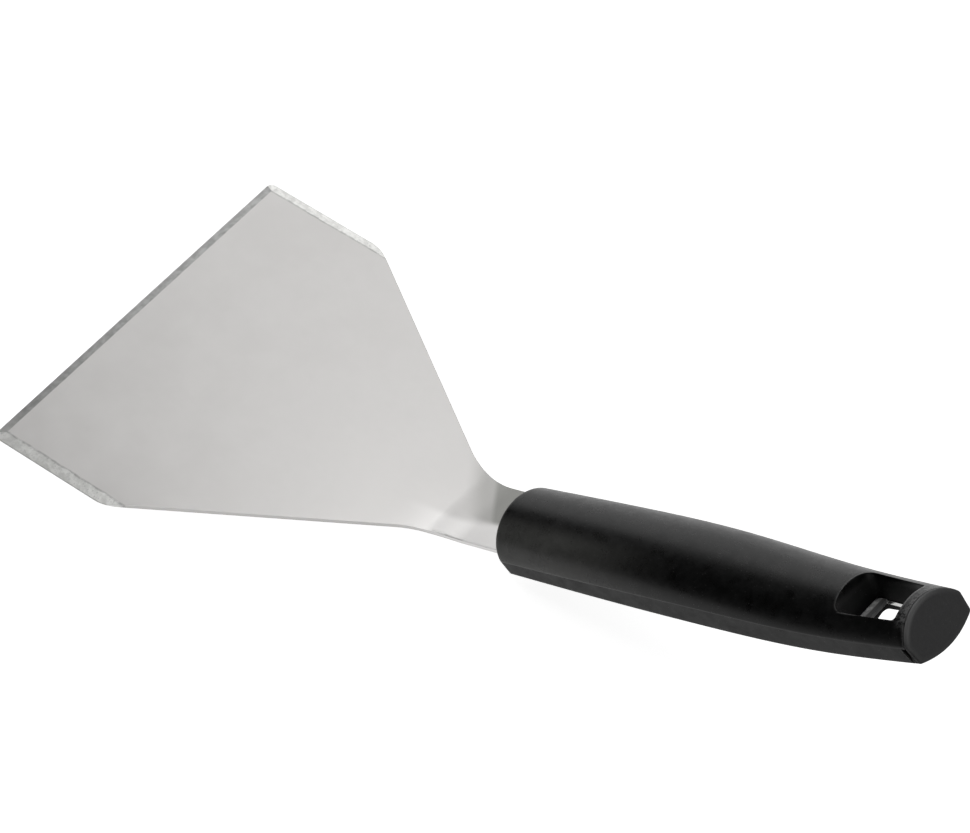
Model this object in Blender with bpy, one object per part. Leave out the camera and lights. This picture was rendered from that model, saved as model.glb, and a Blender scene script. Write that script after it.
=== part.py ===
"""A griddle scraper: a wide ground steel blade with a raised neck, and a hollow two-shell
plastic handle with an end cap and a hanging slot.

The blade lies flat on the ground plane. X runs from its front edge towards the end of the
handle, and the scraper is symmetric about the XZ plane. The origin is on the ground, under
the middle of the whole length. All sizes are in metres.
"""
from math import cos, pi, radians, sin, tan

import bmesh
import bpy
import numpy as np
from mathutils import Matrix, Vector

# Blade
BLADE_WIDTH = 0.1524
BLADE_THICKNESS = 0.0016
SIDE_LENGTH = 0.051
TAPER_ANGLE = radians(32.85)
FRONT_CORNER_RADIUS = 0.0025
SIDE_CORNER_RADIUS = 0.015
FRONT_GRIND = 0.0036
SIDE_GRIND = 0.0038
EDGE_LAND = 0.0003

# Neck: the knee is where the middle planes of the blade and the tang would meet
NECK_WIDTH = 0.0292
NECK_FILLET = 0.042
NECK_KNEE = 0.1533
BEND_RADIUS = 0.0392
HANDLE_TILT = radians(23.1)

# Handle, measured along the tang's middle plane: the start is from the knee to the front rim
HANDLE_START = 0.027
HANDLE_LENGTH = 0.1833
RIM_SLANT = radians(13.2)
END_SLANT = radians(25.1)

# Handle sections, evenly spaced from the front rim to the end: the widest line is the
# shoulder, with a dome above it and drafted sides with a bulged bottom below it
HALF_WIDTH = (0.0172, 0.0183, 0.0184, 0.0169, 0.0147)
SHOULDER_HEIGHT = (-0.0012, 0.0013, 0.0032, 0.0038, 0.0076)
DOME_RISE = (0.0127, 0.0121, 0.0113, 0.0094, 0.0075)
DOME_HALF_ARC = (radians(89), radians(87), radians(80.5), radians(68.5), radians(63))
SIDE_DROP = (0.0063, 0.0077, 0.0087, 0.0081, 0.0067)
SIDE_DRAFT = (0.17, 0.14, 0.12, 0.11, 0.10)
BOTTOM_BULGE = 0.0029
LOW_CORNER_RADIUS = 0.0010

# Handle shells
WALL = 0.0024
FRONT_WALL = 0.0055
RIB_THICKNESS = 0.002
RIB_COUNT = 3
END_REBATE_LENGTH = 0.0015
END_REBATE_DEPTH = 0.0011
FIT = 0.0003

# Hanging slot: its width at the tang, its mouth's widths and height in the dome, and the
# steel ledges that the tang shows inside it
SLOT_LENGTH = 0.0241
SLOT_WIDTH = 0.018
SLOT_SETBACK = 0.0116
SLOT_FRONT_RADIUS = 0.002
SLOT_REAR_RADIUS = 0.0013
SLOT_FLARE = 0.0018
SLOT_MOUTH_FRONT = 0.0207
SLOT_MOUTH_REAR = 0.018
SLOT_MOUTH_HEIGHT = 0.0105
LEDGE_ENDS = 0.0036
LEDGE_SIDES = 0.00015
TANG_HOLE_RADIUS = 0.0025

# Tang inside the handle
NECK_ENTRY = 0.0085
TANG_STRIP = 0.0025
TANG_TAIL = 0.005
TANG_END_RADIUS = 0.005
TANG_CORNER_RADIUS = 0.0008

# Locating pegs, moulded on the upper shell, through the tang into sockets of the lower one
PEG_RADIUS = 0.003
PEG_REACH = 0.0032
SOCKET_WALL = 0.0018

# End cap
CAP_THICKNESS = 0.0012
CAP_ROUNDING = 0.0006
CAP_GROOVE = 0.0003
CAP_PEG_RADIUS = 0.0014
CAP_PEG_LENGTH = 0.003
CAP_PEG_SPREAD = 0.0105
CAP_PEG_HEIGHT = 0.0052

# Fineness of the curved shapes
ARC_STEPS = 8
FILLET_STEPS = 14
BEND_STEPS = 10
DOME_STEPS = 20
BOTTOM_STEPS = 8
LOFT_STEPS = 20
BAY_STEPS = 4
CAP_ROUNDING_STEPS = 4
LOW_CORNER_STEPS = 3
SLOT_CORNER_STEPS = 5
ROUND_SIDES = 24
CROSSING_STEPS = 6
SMOOTH_ANGLE = radians(30)
BLADE_SMOOTH_ANGLE = radians(12)

# Places worked out from the sizes above
BEND_TANGENT = BEND_RADIUS * tan(HANDLE_TILT / 2)
BEND_START = NECK_KNEE - BEND_TANGENT
BEND_LENGTH = BEND_RADIUS * HANDLE_TILT
HALF_THICKNESS = BLADE_THICKNESS / 2
SLOT_END = HANDLE_LENGTH - SLOT_SETBACK
SLOT_START = SLOT_END - SLOT_LENGTH
TANG_HALF_WIDTH = SLOT_WIDTH / 2 - LEDGE_SIDES + TANG_STRIP
TANG_END = SLOT_END - LEDGE_ENDS + TANG_TAIL
TONGUE_HALF_WIDTH = TANG_HALF_WIDTH + FIT
CHANNEL_HALF_WIDTH = TONGUE_HALF_WIDTH + FIT
CHANNEL_HEIGHT = HALF_THICKNESS + FIT
BAY_START = FRONT_WALL
BAY_END = SLOT_START - WALL
BAY_LENGTH = (BAY_END - BAY_START - RIB_COUNT * RIB_THICKNESS) / (RIB_COUNT + 1)
PEG_BAYS = (0, RIB_COUNT)
CUT_REACH = 0.04
SHELL_END = HANDLE_LENGTH - (CAP_THICKNESS + FIT) / cos(END_SLANT)


def clear_scene():
    for obj in list(bpy.data.objects):
        bpy.data.objects.remove(obj, do_unlink=True)
    for collection in list(bpy.data.collections):
        bpy.data.collections.remove(collection)


def new_collection(name):
    collection = bpy.data.collections.new(name)
    bpy.context.scene.collection.children.link(collection)
    return collection


def new_material(name, colour, roughness, metallic):
    material = bpy.data.materials.new(name)
    material.use_nodes = True
    shader = material.node_tree.nodes["Principled BSDF"]
    shader.inputs["Base Color"].default_value = (*colour, 1)
    shader.inputs["Roughness"].default_value = roughness
    shader.inputs["Metallic"].default_value = metallic
    return material


def new_object(name, mesh, collection, parent, material=None):
    obj = bpy.data.objects.new(name, mesh)
    obj.parent = parent
    collection.objects.link(obj)
    if material:
        mesh.materials.append(material)
    if collection is cutters:
        obj.display_type = "WIRE"
        obj.hide_render = True
    return obj


def mesh_from(name, bm):
    bmesh.ops.recalc_face_normals(bm, faces=bm.faces)
    mesh = bpy.data.meshes.new(name)
    bm.to_mesh(mesh)
    bm.free()
    return mesh


def fillet(corners, steps=ARC_STEPS):
    """Rounds a closed outline, given as (x, y, radius), with an arc at each corner."""
    points = []
    for index, (x, y, radius) in enumerate(corners):
        here = Vector((x, y))
        back = (Vector(corners[index - 1][:2]) - here).normalized()
        ahead = (Vector(corners[(index + 1) % len(corners)][:2]) - here).normalized()
        if radius == 0:
            points.append(here)
            continue
        half = back.angle(ahead) / 2
        centre = here + (back + ahead).normalized() * radius / sin(half)
        first = here + back * radius / tan(half) - centre
        turn = first.angle_signed(here + ahead * radius / tan(half) - centre)
        arc_steps = FILLET_STEPS if radius == NECK_FILLET else steps
        for step in range(arc_steps + 1):
            arm = first.copy()
            arm.rotate(Matrix.Rotation(-turn * step / arc_steps, 2))
            points.append(centre + arm)
    return points


def prism(name, outline, low, high):
    """A closed solid between two heights on one outline."""
    return solid(name, [[(x, y, height) for x, y in outline] for height in (low, high)])


def bridge(bm, rings):
    for lower, upper in zip(rings, rings[1:]):
        for index, vert in enumerate(lower):
            after = (index + 1) % len(lower)
            bm.faces.new((vert, lower[after], upper[after], upper[index]))


def block(name, low, high, collection, parent):
    """A box between two corners."""
    bm = bmesh.new()
    bmesh.ops.create_cube(bm, size=1)
    size = Vector(high) - Vector(low)
    middle = (Vector(high) + Vector(low)) / 2
    bmesh.ops.scale(bm, vec=size, verts=bm.verts)
    bmesh.ops.translate(bm, vec=middle, verts=bm.verts)
    return new_object(name, mesh_from(name, bm), collection, parent)


def rod(name, radius, start, direction, length, collection, parent):
    """A round bar from a start point along a direction."""
    bm = bmesh.new()
    bmesh.ops.create_cone(bm, cap_ends=True, segments=ROUND_SIDES, radius1=radius, radius2=radius,
                          depth=length)
    along = Vector(direction).normalized()
    turn = along.to_track_quat("Z", "Y").to_matrix().to_4x4()
    middle = Vector(start) + along * length / 2
    bmesh.ops.transform(bm, matrix=Matrix.Translation(middle) @ turn, verts=bm.verts)
    return new_object(name, mesh_from(name, bm), collection, parent)


def combine(target, other, operation):
    modifier = target.modifiers.new(other.name, "BOOLEAN")
    modifier.operation = operation
    modifier.solver = "EXACT"
    modifier.object = other


def settle(obj):
    """Turns an object's modifiers into plain mesh, shaded smooth up to its sharp edges."""
    evaluated = obj.evaluated_get(bpy.context.evaluated_depsgraph_get())
    mesh = bpy.data.meshes.new_from_object(evaluated)
    obj.modifiers.clear()
    obj.data = mesh
    mesh.shade_smooth()
    mesh.set_sharp_from_angle(angle=SMOOTH_ANGLE)


def spline(values):
    """A natural cubic spline through values spaced evenly from 0 to 1."""
    count = len(values)
    gap = 1 / (count - 1)
    system = np.eye(count)
    right = np.zeros(count)
    for i in range(1, count - 1):
        system[i, i - 1:i + 2] = (1, 4, 1)
        right[i] = 6 * (values[i - 1] - 2 * values[i] + values[i + 1]) / gap ** 2
    bends = np.linalg.solve(system, right)

    def read(place):
        i = min(max(int(place / gap), 0), count - 2)
        after = place / gap - i
        before = 1 - after
        curve = (before ** 3 - before) * bends[i] + (after ** 3 - after) * bends[i + 1]
        return before * values[i] + after * values[i + 1] + curve * gap ** 2 / 6

    return read


half_width_at = spline(HALF_WIDTH)
shoulder_at = spline(SHOULDER_HEIGHT)
dome_rise_at = spline(DOME_RISE)
dome_arc_at = spline(DOME_HALF_ARC)
side_drop_at = spline(SIDE_DROP)
side_draft_at = spline(SIDE_DRAFT)


def dome_points(along, wall=0.0):
    """The dome's section from its right shoulder to its left, inset by a wall."""
    place = along / HANDLE_LENGTH
    half = half_width_at(place) - wall
    rise = dome_rise_at(place) - wall
    arc = dome_arc_at(place)
    points = []
    for step in range(DOME_STEPS + 1):
        angle = arc * (1 - 2 * step / DOME_STEPS)
        height = rise * (cos(angle) - cos(arc)) / (1 - cos(arc))
        points.append((half * sin(angle) / sin(arc), shoulder_at(place) + height))
    return points


def lower_points(along, wall=0.0):
    """The section below the shoulders, from the left one under the bottom to the right."""
    place = along / HANDLE_LENGTH
    shoulder = shoulder_at(place)
    half = half_width_at(place) - wall
    drop = side_drop_at(place)
    low_half = half - drop * side_draft_at(place)
    low = shoulder - drop + wall
    corners = [(-half, shoulder, 0), (-low_half, low, LOW_CORNER_RADIUS)]
    for step in range(1, BOTTOM_STEPS):
        across = 2 * step / BOTTOM_STEPS - 1
        corners.append((low_half * across, low - BOTTOM_BULGE * (1 - across ** 2), 0))
    corners += [(low_half, low, LOW_CORNER_RADIUS), (half, shoulder, 0)]
    return [tuple(point) for point in fillet(corners, LOW_CORNER_STEPS)]


def upper_section(along):
    """The upper shell's outside, closed straight across just above the joint line."""
    points = dome_points(along)
    points[0] = (points[0][0], points[0][1] + FIT / 2)
    points[-1] = (points[-1][0], points[-1][1] + FIT / 2)
    return points


def lower_section(along):
    """The lower shell's outside, closed straight across just below the joint line."""
    points = lower_points(along)
    points[0] = (points[0][0], points[0][1] - FIT / 2)
    points[-1] = (points[-1][0], points[-1][1] - FIT / 2)
    return points


def rebate_section(along):
    """A trough round the sides and bottom, for the rebate in front of the end cap."""
    inner = lower_points(along, END_REBATE_DEPTH)
    trough = [(-CUT_REACH, CUT_REACH), (-CUT_REACH, -CUT_REACH), (CUT_REACH, -CUT_REACH),
              (CUT_REACH, CUT_REACH), (inner[-1][0], CUT_REACH)]
    return trough + inner[::-1] + [(inner[0][0], CUT_REACH)]


def whole_section(along):
    return dome_points(along) + lower_points(along)[1:-1]


def plane_crossing(section, index, position, slant):
    """How far along the handle one point of a section meets a slanted plane."""
    along = position
    for _ in range(CROSSING_STEPS):
        along = position - tan(slant) * section(along)[index][1]
    return along


def loft_rings(section, start, end, steps=LOFT_STEPS):
    """Rings of a section that changes along the handle, between two planes across it.

    A plane is its place on the tang's middle and its slant from square."""
    rings = [[] for _ in range(steps + 1)]
    for index in range(len(section(0))):
        first = plane_crossing(section, index, *start)
        last = plane_crossing(section, index, *end)
        for step, ring in enumerate(rings):
            along = first + (last - first) * step / steps
            y, height = section(along)[index]
            ring.append((along, y, height))
    return rings


def solid(name, rings):
    """A closed mesh through rings of points, with a flat cap on the first and the last."""
    bm = bmesh.new()
    placed = [[bm.verts.new(point) for point in ring] for ring in rings]
    bm.faces.new(placed[0])
    bm.faces.new(placed[-1])
    bridge(bm, placed)
    return mesh_from(name, bm)


def bay_range(number):
    start = BAY_START + number * (BAY_LENGTH + RIB_THICKNESS)
    return start, start + BAY_LENGTH


def bay(name, points, number, past):
    """A cutter for one hollow between ribs, carried past the joint line to a height."""
    def section(along):
        inner = points(along, WALL)
        return [(inner[-1][0], past), (inner[0][0], past)] + inner

    start, end = bay_range(number)
    mesh = solid(name, loft_rings(section, (start, 0), (end, 0), BAY_STEPS))
    return new_object(name, mesh, cutters, handle_axis)


def flat_place(along):
    """Where a place along the handle lies on the blade's flat blank, before it is bent."""
    return BEND_START + BEND_LENGTH - BEND_TANGENT + HANDLE_START + along


def blank_outline():
    half = BLADE_WIDTH / 2
    neck_half = NECK_WIDTH / 2
    taper_end = SIDE_LENGTH + (half - neck_half) / tan(TAPER_ANGLE)
    neck_end = flat_place(NECK_ENTRY)
    tang_start = neck_end + neck_half - TANG_HALF_WIDTH
    side = [
        (0, half, FRONT_CORNER_RADIUS),
        (SIDE_LENGTH, half, SIDE_CORNER_RADIUS),
        (taper_end, neck_half, NECK_FILLET),
        (neck_end, neck_half, TANG_CORNER_RADIUS),
        (tang_start, TANG_HALF_WIDTH, TANG_CORNER_RADIUS),
        (flat_place(TANG_END), TANG_HALF_WIDTH, TANG_END_RADIUS),
    ]
    return fillet(side + [(x, -y, radius) for x, y, radius in reversed(side)])


def grind_cutter(name, inner, outward, along, width, length):
    """A block whose flat underside grinds an edge from the full thickness to its land."""
    slope = Vector(outward) * width + Vector((0, 0, EDGE_LAND - BLADE_THICKNESS))
    slope.normalize()
    edge = Vector(along)
    face = slope.cross(edge)
    if face.z < 0:
        face.negate()
    turn = Matrix((slope, edge, face)).transposed().to_4x4()
    reach = 4 * width
    cutter = block(name, (-width, -length / 2, 0), (reach, length / 2, width), cutters, scraper)
    cutter.data.transform(Matrix.Translation(inner) @ turn)
    if turn.determinant() < 0:
        cutter.data.flip_normals()
    return cutter


def bend(mesh):
    """Bends the flat blank upwards at the neck, so that the tang rises to the handle's tilt."""
    bm = bmesh.new()
    bm.from_mesh(mesh)
    for step in range(BEND_STEPS + 1):
        place = (BEND_START + BEND_LENGTH * step / BEND_STEPS, 0, 0)
        geometry = list(bm.verts) + list(bm.edges) + list(bm.faces)
        bmesh.ops.bisect_plane(bm, geom=geometry, plane_co=place, plane_no=(1, 0, 0))
    centre_height = HALF_THICKNESS + BEND_RADIUS
    for vert in bm.verts:
        run = vert.co.x - BEND_START
        if run <= 0:
            continue
        angle = min(run, BEND_LENGTH) / BEND_RADIUS
        straight = max(run - BEND_LENGTH, 0)
        arm = centre_height - vert.co.z
        vert.co.x = BEND_START + arm * sin(angle) + straight * cos(angle)
        vert.co.z = centre_height - arm * cos(angle) + straight * sin(angle)
    bm.to_mesh(mesh)
    bm.free()


def make_blade():
    outline = blank_outline()
    blade = new_object("blade", prism("blade", outline, 0, BLADE_THICKNESS), parts, scraper, steel)
    half = BLADE_WIDTH / 2
    grind_length = 2 * BLADE_WIDTH
    front = grind_cutter("front_grind", (FRONT_GRIND, 0, BLADE_THICKNESS), (-1, 0, 0), (0, 1, 0),
                         FRONT_GRIND, grind_length)
    combine(blade, front, "DIFFERENCE")
    for side, name in ((1, "left_grind"), (-1, "right_grind")):
        inner = (0, side * (half - SIDE_GRIND), BLADE_THICKNESS)
        cutter = grind_cutter(name, inner, (0, side, 0), (1, 0, 0), SIDE_GRIND, grind_length)
        combine(blade, cutter, "DIFFERENCE")
    hole_start = flat_place(SLOT_START + LEDGE_ENDS)
    hole_end = flat_place(SLOT_END - LEDGE_ENDS)
    hole_half = SLOT_WIDTH / 2 - LEDGE_SIDES
    corners = [(hole_start, -hole_half, TANG_HOLE_RADIUS), (hole_end, -hole_half, TANG_HOLE_RADIUS),
               (hole_end, hole_half, TANG_HOLE_RADIUS), (hole_start, hole_half, TANG_HOLE_RADIUS)]
    outline = fillet(corners, SLOT_CORNER_STEPS)
    mesh = prism("tang_hole", outline, -BLADE_THICKNESS, 2 * BLADE_THICKNESS)
    combine(blade, new_object("tang_hole", mesh, cutters, scraper), "DIFFERENCE")
    for number in PEG_BAYS:
        start = (flat_place(sum(bay_range(number)) / 2), 0, -BLADE_THICKNESS)
        cutter = rod(f"tang_peg_hole_{number}", PEG_RADIUS + FIT, start, (0, 0, 1),
                     3 * BLADE_THICKNESS, cutters, scraper)
        combine(blade, cutter, "DIFFERENCE")
    settle(blade)
    bend(blade.data)
    blade.data.shade_smooth()
    blade.data.set_sharp_from_angle(angle=BLADE_SMOOTH_ANGLE)


def neck_pocket(name):
    """The way in for the full width of the neck, through the front of both shells."""
    half = NECK_WIDTH / 2 + FIT
    end = NECK_ENTRY + NECK_WIDTH / 2 - TANG_HALF_WIDTH + FIT
    return block(name, (-CUT_REACH, -half, -CHANNEL_HEIGHT), (end, half, CHANNEL_HEIGHT), cutters,
                 handle_axis)


def tang_room(name, half, end, end_radius, low, high, start=-CUT_REACH):
    """A block over the tang's outline, from a start to its rounded tail."""
    corners = [(start, -half, 0), (end, -half, end_radius), (end, half, end_radius), (start, half, 0)]
    return new_object(name, prism(name, fillet(corners), low, high), cutters, handle_axis)


def slot_ring(height, front_half, rear_half):
    """The slot's outline at a height, as wide as given at its front and its rear."""
    corners = [(SLOT_START, -front_half, SLOT_FRONT_RADIUS), (SLOT_END, -rear_half, SLOT_REAR_RADIUS),
               (SLOT_END, rear_half, SLOT_REAR_RADIUS), (SLOT_START, front_half, SLOT_FRONT_RADIUS)]
    return [(x, y, height) for x, y in fillet(corners, SLOT_CORNER_STEPS)]


def upper_slot():
    """The slot through the dome, drafted to a mouth that narrows with the handle."""
    half = SLOT_WIDTH / 2
    front_draft = (SLOT_MOUTH_FRONT / 2 - half) / SLOT_MOUTH_HEIGHT
    rear_draft = (SLOT_MOUTH_REAR / 2 - half) / SLOT_MOUTH_HEIGHT
    rings = [slot_ring(-CUT_REACH, half, half), slot_ring(0, half, half)]
    top = 2 * SLOT_MOUTH_HEIGHT
    rings.append(slot_ring(top, half + front_draft * top, half + rear_draft * top))
    return new_object("upper_slot", solid("upper_slot", rings), cutters, handle_axis)


def lower_slot():
    """The slot through the lower shell, flared downwards."""
    half = SLOT_WIDTH / 2
    underside = shoulder_at(SLOT_START / HANDLE_LENGTH) - side_drop_at(SLOT_START / HANDLE_LENGTH)
    low = underside - BOTTOM_BULGE - WALL
    rings = [slot_ring(low, half + SLOT_FLARE, half + SLOT_FLARE), slot_ring(-low, half, half)]
    return new_object("lower_slot", solid("lower_slot", rings), cutters, handle_axis)


def make_upper_shell():
    rings = loft_rings(upper_section, (0, RIM_SLANT), (SHELL_END, END_SLANT))
    shell = new_object("upper_handle_shell", solid("upper_handle_shell", rings), parts, handle_axis,
                       plastic)
    # The tongue fills the lower shell's channel, down to the tang
    tongue_top = shoulder_at(SLOT_START / HANDLE_LENGTH) + WALL
    tongue = tang_room("upper_tongue", TONGUE_HALF_WIDTH, TANG_END, TANG_END_RADIUS,
                       CHANNEL_HEIGHT, tongue_top, FRONT_WALL)
    combine(shell, tongue, "UNION")
    for number in range(RIB_COUNT + 1):
        combine(shell, bay(f"upper_bay_{number}", dome_points, number, -CUT_REACH), "DIFFERENCE")
    channel = tang_room("upper_channel", TONGUE_HALF_WIDTH, TANG_END + FIT, TANG_END_RADIUS,
                        -CUT_REACH, CHANNEL_HEIGHT)
    combine(shell, channel, "DIFFERENCE")
    combine(shell, neck_pocket("upper_neck_pocket"), "DIFFERENCE")
    combine(shell, upper_slot(), "DIFFERENCE")
    for number in PEG_BAYS:
        along = sum(bay_range(number)) / 2
        place = along / HANDLE_LENGTH
        top = shoulder_at(place) + dome_rise_at(place) - WALL / 2
        peg = rod(f"upper_peg_{number}", PEG_RADIUS, (along, 0, top), (0, 0, -1),
                  top + HALF_THICKNESS + PEG_REACH, cutters, handle_axis)
        combine(shell, peg, "UNION")
    settle(shell)


def make_lower_shell():
    rings = loft_rings(lower_section, (0, RIM_SLANT), (SHELL_END, END_SLANT))
    shell = new_object("lower_handle_shell", solid("lower_handle_shell", rings), parts, handle_axis,
                       plastic)
    for number in range(RIB_COUNT + 1):
        combine(shell, bay(f"lower_bay_{number}", lower_points, number, CUT_REACH), "DIFFERENCE")
    for number in PEG_BAYS:
        along = sum(bay_range(number)) / 2
        place = along / HANDLE_LENGTH
        floor = shoulder_at(place) - side_drop_at(place) - BOTTOM_BULGE + WALL / 2
        boss = rod(f"lower_boss_{number}", PEG_RADIUS + FIT + SOCKET_WALL, (along, 0, floor),
                   (0, 0, 1), -CHANNEL_HEIGHT - floor, cutters, handle_axis)
        combine(shell, boss, "UNION")
        depth = PEG_REACH + HALF_THICKNESS + FIT
        socket = rod(f"lower_socket_{number}", PEG_RADIUS + FIT, (along, 0, -depth), (0, 0, 1),
                     CUT_REACH, cutters, handle_axis)
        combine(shell, socket, "DIFFERENCE")
    channel = tang_room("lower_channel", CHANNEL_HALF_WIDTH, TANG_END + FIT, TANG_END_RADIUS + FIT,
                        -CHANNEL_HEIGHT, CUT_REACH)
    combine(shell, channel, "DIFFERENCE")
    combine(shell, neck_pocket("lower_neck_pocket"), "DIFFERENCE")
    combine(shell, lower_slot(), "DIFFERENCE")
    rebate_start = SHELL_END - END_REBATE_LENGTH / cos(END_SLANT)
    rings = loft_rings(rebate_section, (rebate_start, END_SLANT), (HANDLE_LENGTH, END_SLANT), 1)
    rebate = new_object("end_rebate", solid("end_rebate", rings), cutters, handle_axis)
    combine(shell, rebate, "DIFFERENCE")
    for side in (-1, 1):
        combine(shell, cap_peg(f"cap_peg_hole_{side}", side, FIT), "DIFFERENCE")
    settle(shell)


def cap_peg(name, side, extra=0.0):
    """One of the cap's two pegs, or with an extra radius the hole that takes it."""
    height = CAP_PEG_HEIGHT
    along = HANDLE_LENGTH - CAP_THICKNESS / 2 / cos(END_SLANT) - tan(END_SLANT) * height
    length = CAP_THICKNESS / 2 + FIT + CAP_PEG_LENGTH + extra
    return rod(name, CAP_PEG_RADIUS + extra, (along, side * CAP_PEG_SPREAD, height),
               (-cos(END_SLANT), 0, -sin(END_SLANT)), length, cutters, handle_axis)


def cap_ring(depth, inset):
    """The handle's outline on a plane a depth in from the end face, drawn in by an inset."""
    position = HANDLE_LENGTH - depth / cos(END_SLANT)
    count = len(whole_section(0))
    ring = []
    for index in range(count):
        along = plane_crossing(whole_section, index, position, END_SLANT)
        y, height = whole_section(along)[index]
        ring.append(Vector((along, y, height)))
    normal = Vector((cos(END_SLANT), 0, sin(END_SLANT)))
    drawn = []
    for index, point in enumerate(ring):
        run = ring[(index + 1) % count] - ring[index - 1]
        drawn.append(point + normal.cross(run).normalized() * inset)
    return drawn


def make_end_cap():
    profile = [(CAP_THICKNESS, CAP_GROOVE), (CAP_THICKNESS - CAP_GROOVE, 0)]
    for step in range(CAP_ROUNDING_STEPS + 1):
        angle = pi / 2 * step / CAP_ROUNDING_STEPS
        profile.append((CAP_ROUNDING * (1 - sin(angle)), CAP_ROUNDING * (1 - cos(angle))))
    mesh = solid("end_cap", [cap_ring(depth, inset) for depth, inset in profile])
    cap = new_object("end_cap", mesh, parts, handle_axis, cap_plastic)
    for side in (-1, 1):
        combine(cap, cap_peg(f"cap_peg_{side}", side), "UNION")
    settle(cap)


def centre_length():
    """Moves the scraper so that the origin is under the middle of its length."""
    bpy.context.view_layer.update()
    places = []
    for obj in parts.objects:
        if obj.type == "MESH":
            places += [(obj.matrix_world @ vert.co).x for vert in obj.data.vertices]
    scraper.location.x = -(min(places) + max(places)) / 2


clear_scene()
parts = new_collection("griddle_scraper")
cutters = new_collection("griddle_scraper_cutters")
steel = new_material("brushed_steel", (0.56, 0.55, 0.54), 0.35, 1.0)
plastic = new_material("black_plastic", (0.012, 0.012, 0.013), 0.5, 0.0)
cap_plastic = new_material("cap_plastic", (0.02, 0.02, 0.021), 0.6, 0.0)

scraper = new_object("scraper", None, parts, None)
handle_axis = new_object("handle_axis", None, parts, scraper)
handle_axis.location = (NECK_KNEE + HANDLE_START * cos(HANDLE_TILT), 0,
                        HALF_THICKNESS + HANDLE_START * sin(HANDLE_TILT))
handle_axis.rotation_euler = (0, -HANDLE_TILT, 0)
bpy.context.view_layer.update()

make_blade()
make_upper_shell()
make_lower_shell()
make_end_cap()
centre_length()
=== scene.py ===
"""The looks of the griddle scraper: a satin steel blade and a textured black handle."""
from math import cos, pi, radians, sin, tan

import bmesh
import bpy
import numpy as np
from mathutils import Matrix, Vector
from mathutils.kdtree import KDTree


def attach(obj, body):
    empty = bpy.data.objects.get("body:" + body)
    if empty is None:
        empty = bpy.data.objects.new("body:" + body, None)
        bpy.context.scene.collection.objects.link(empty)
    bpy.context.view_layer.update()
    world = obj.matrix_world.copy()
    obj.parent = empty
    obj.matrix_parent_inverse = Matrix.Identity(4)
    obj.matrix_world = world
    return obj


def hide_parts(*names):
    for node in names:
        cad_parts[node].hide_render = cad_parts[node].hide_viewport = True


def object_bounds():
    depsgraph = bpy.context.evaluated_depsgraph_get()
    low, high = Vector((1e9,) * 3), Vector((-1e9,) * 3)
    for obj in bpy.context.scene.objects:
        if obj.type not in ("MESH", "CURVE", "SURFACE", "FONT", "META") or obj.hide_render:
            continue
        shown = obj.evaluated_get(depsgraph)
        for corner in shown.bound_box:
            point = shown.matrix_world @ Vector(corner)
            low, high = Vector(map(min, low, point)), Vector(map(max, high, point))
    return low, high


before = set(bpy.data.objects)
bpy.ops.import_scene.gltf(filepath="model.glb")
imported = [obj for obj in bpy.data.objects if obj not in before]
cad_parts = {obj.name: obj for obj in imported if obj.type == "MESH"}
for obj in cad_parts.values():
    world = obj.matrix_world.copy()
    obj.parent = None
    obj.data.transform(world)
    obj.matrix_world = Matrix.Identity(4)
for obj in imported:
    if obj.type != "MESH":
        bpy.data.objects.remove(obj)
cad_box = [list(corner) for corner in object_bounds()]

# The camera, from the vanishing lines of the blade's straight edges
CAMERA_PLACE = (0.71376, -0.92924, 1.45908)
CAMERA_TARGET = (-0.044354, 0.037086, 0.0)
CAMERA_LENS = 202.07
CAMERA_SENSOR = 36
CAMERA_REACH = (0.05, 50)

# Blade, as in the solids
BLADE_WIDTH = 0.1524
BLADE_THICKNESS = 0.0016
SIDE_LENGTH = 0.051
TAPER_ANGLE = radians(32.85)
FRONT_CORNER_RADIUS = 0.0025
SIDE_CORNER_RADIUS = 0.015
FRONT_GRIND = 0.0036
SIDE_GRIND = 0.0038
EDGE_LAND = 0.0003
NECK_WIDTH = 0.0292
NECK_FILLET = 0.042
NECK_KNEE = 0.1533
BEND_RADIUS = 0.0392
HANDLE_TILT = radians(23.1)

# Handle, as in the solids. The sections' sizes are spaced evenly from its front to its end
HANDLE_START = 0.027
HANDLE_LENGTH = 0.1833
RIM_SLANT = radians(13.2)
END_SLANT = radians(25.1)
HALF_WIDTH = (0.0172, 0.0183, 0.0184, 0.0169, 0.0147)
SHOULDER_HEIGHT = (-0.0012, 0.0013, 0.0032, 0.0038, 0.0076)
DOME_RISE = (0.0127, 0.0121, 0.0113, 0.0094, 0.0075)
DOME_HALF_ARC = (radians(89), radians(87), radians(80.5), radians(68.5), radians(63))
SIDE_DROP = (0.0063, 0.0077, 0.0087, 0.0081, 0.0067)
SIDE_DRAFT = (0.17, 0.14, 0.12, 0.11, 0.10)
BOTTOM_BULGE = 0.0029
LOW_CORNER_RADIUS = 0.0010
NECK_ENTRY = 0.0085

# Hanging slot and the tang's ledges in it, as in the solids
SLOT_LENGTH = 0.0241
SLOT_WIDTH = 0.018
SLOT_SETBACK = 0.0116
SLOT_FRONT_RADIUS = 0.002
SLOT_REAR_RADIUS = 0.0013
SLOT_FLARE = 0.0018
SLOT_MOUTH_FRONT = 0.0207
SLOT_MOUTH_REAR = 0.018
SLOT_MOUTH_HEIGHT = 0.0105
LEDGE_ENDS = 0.0036
LEDGE_SIDES = 0.00015
TANG_STRIP = 0.0025
TANG_TAIL = 0.005

# End cap and the rebate behind it, as in the solids
END_REBATE_LENGTH = 0.0015
END_REBATE_DEPTH = 0.0011
CAP_THICKNESS = 0.0012
CAP_ROUNDING = 0.0006
CAP_GROOVE = 0.0003
FIT = 0.0003

# Blade, in the looks only: its edges' rounding, and sharper corners in the tang's hole
EDGE_ROUNDING = 0.00012
TANG_HOLE_RADIUS = 0.0003

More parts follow.
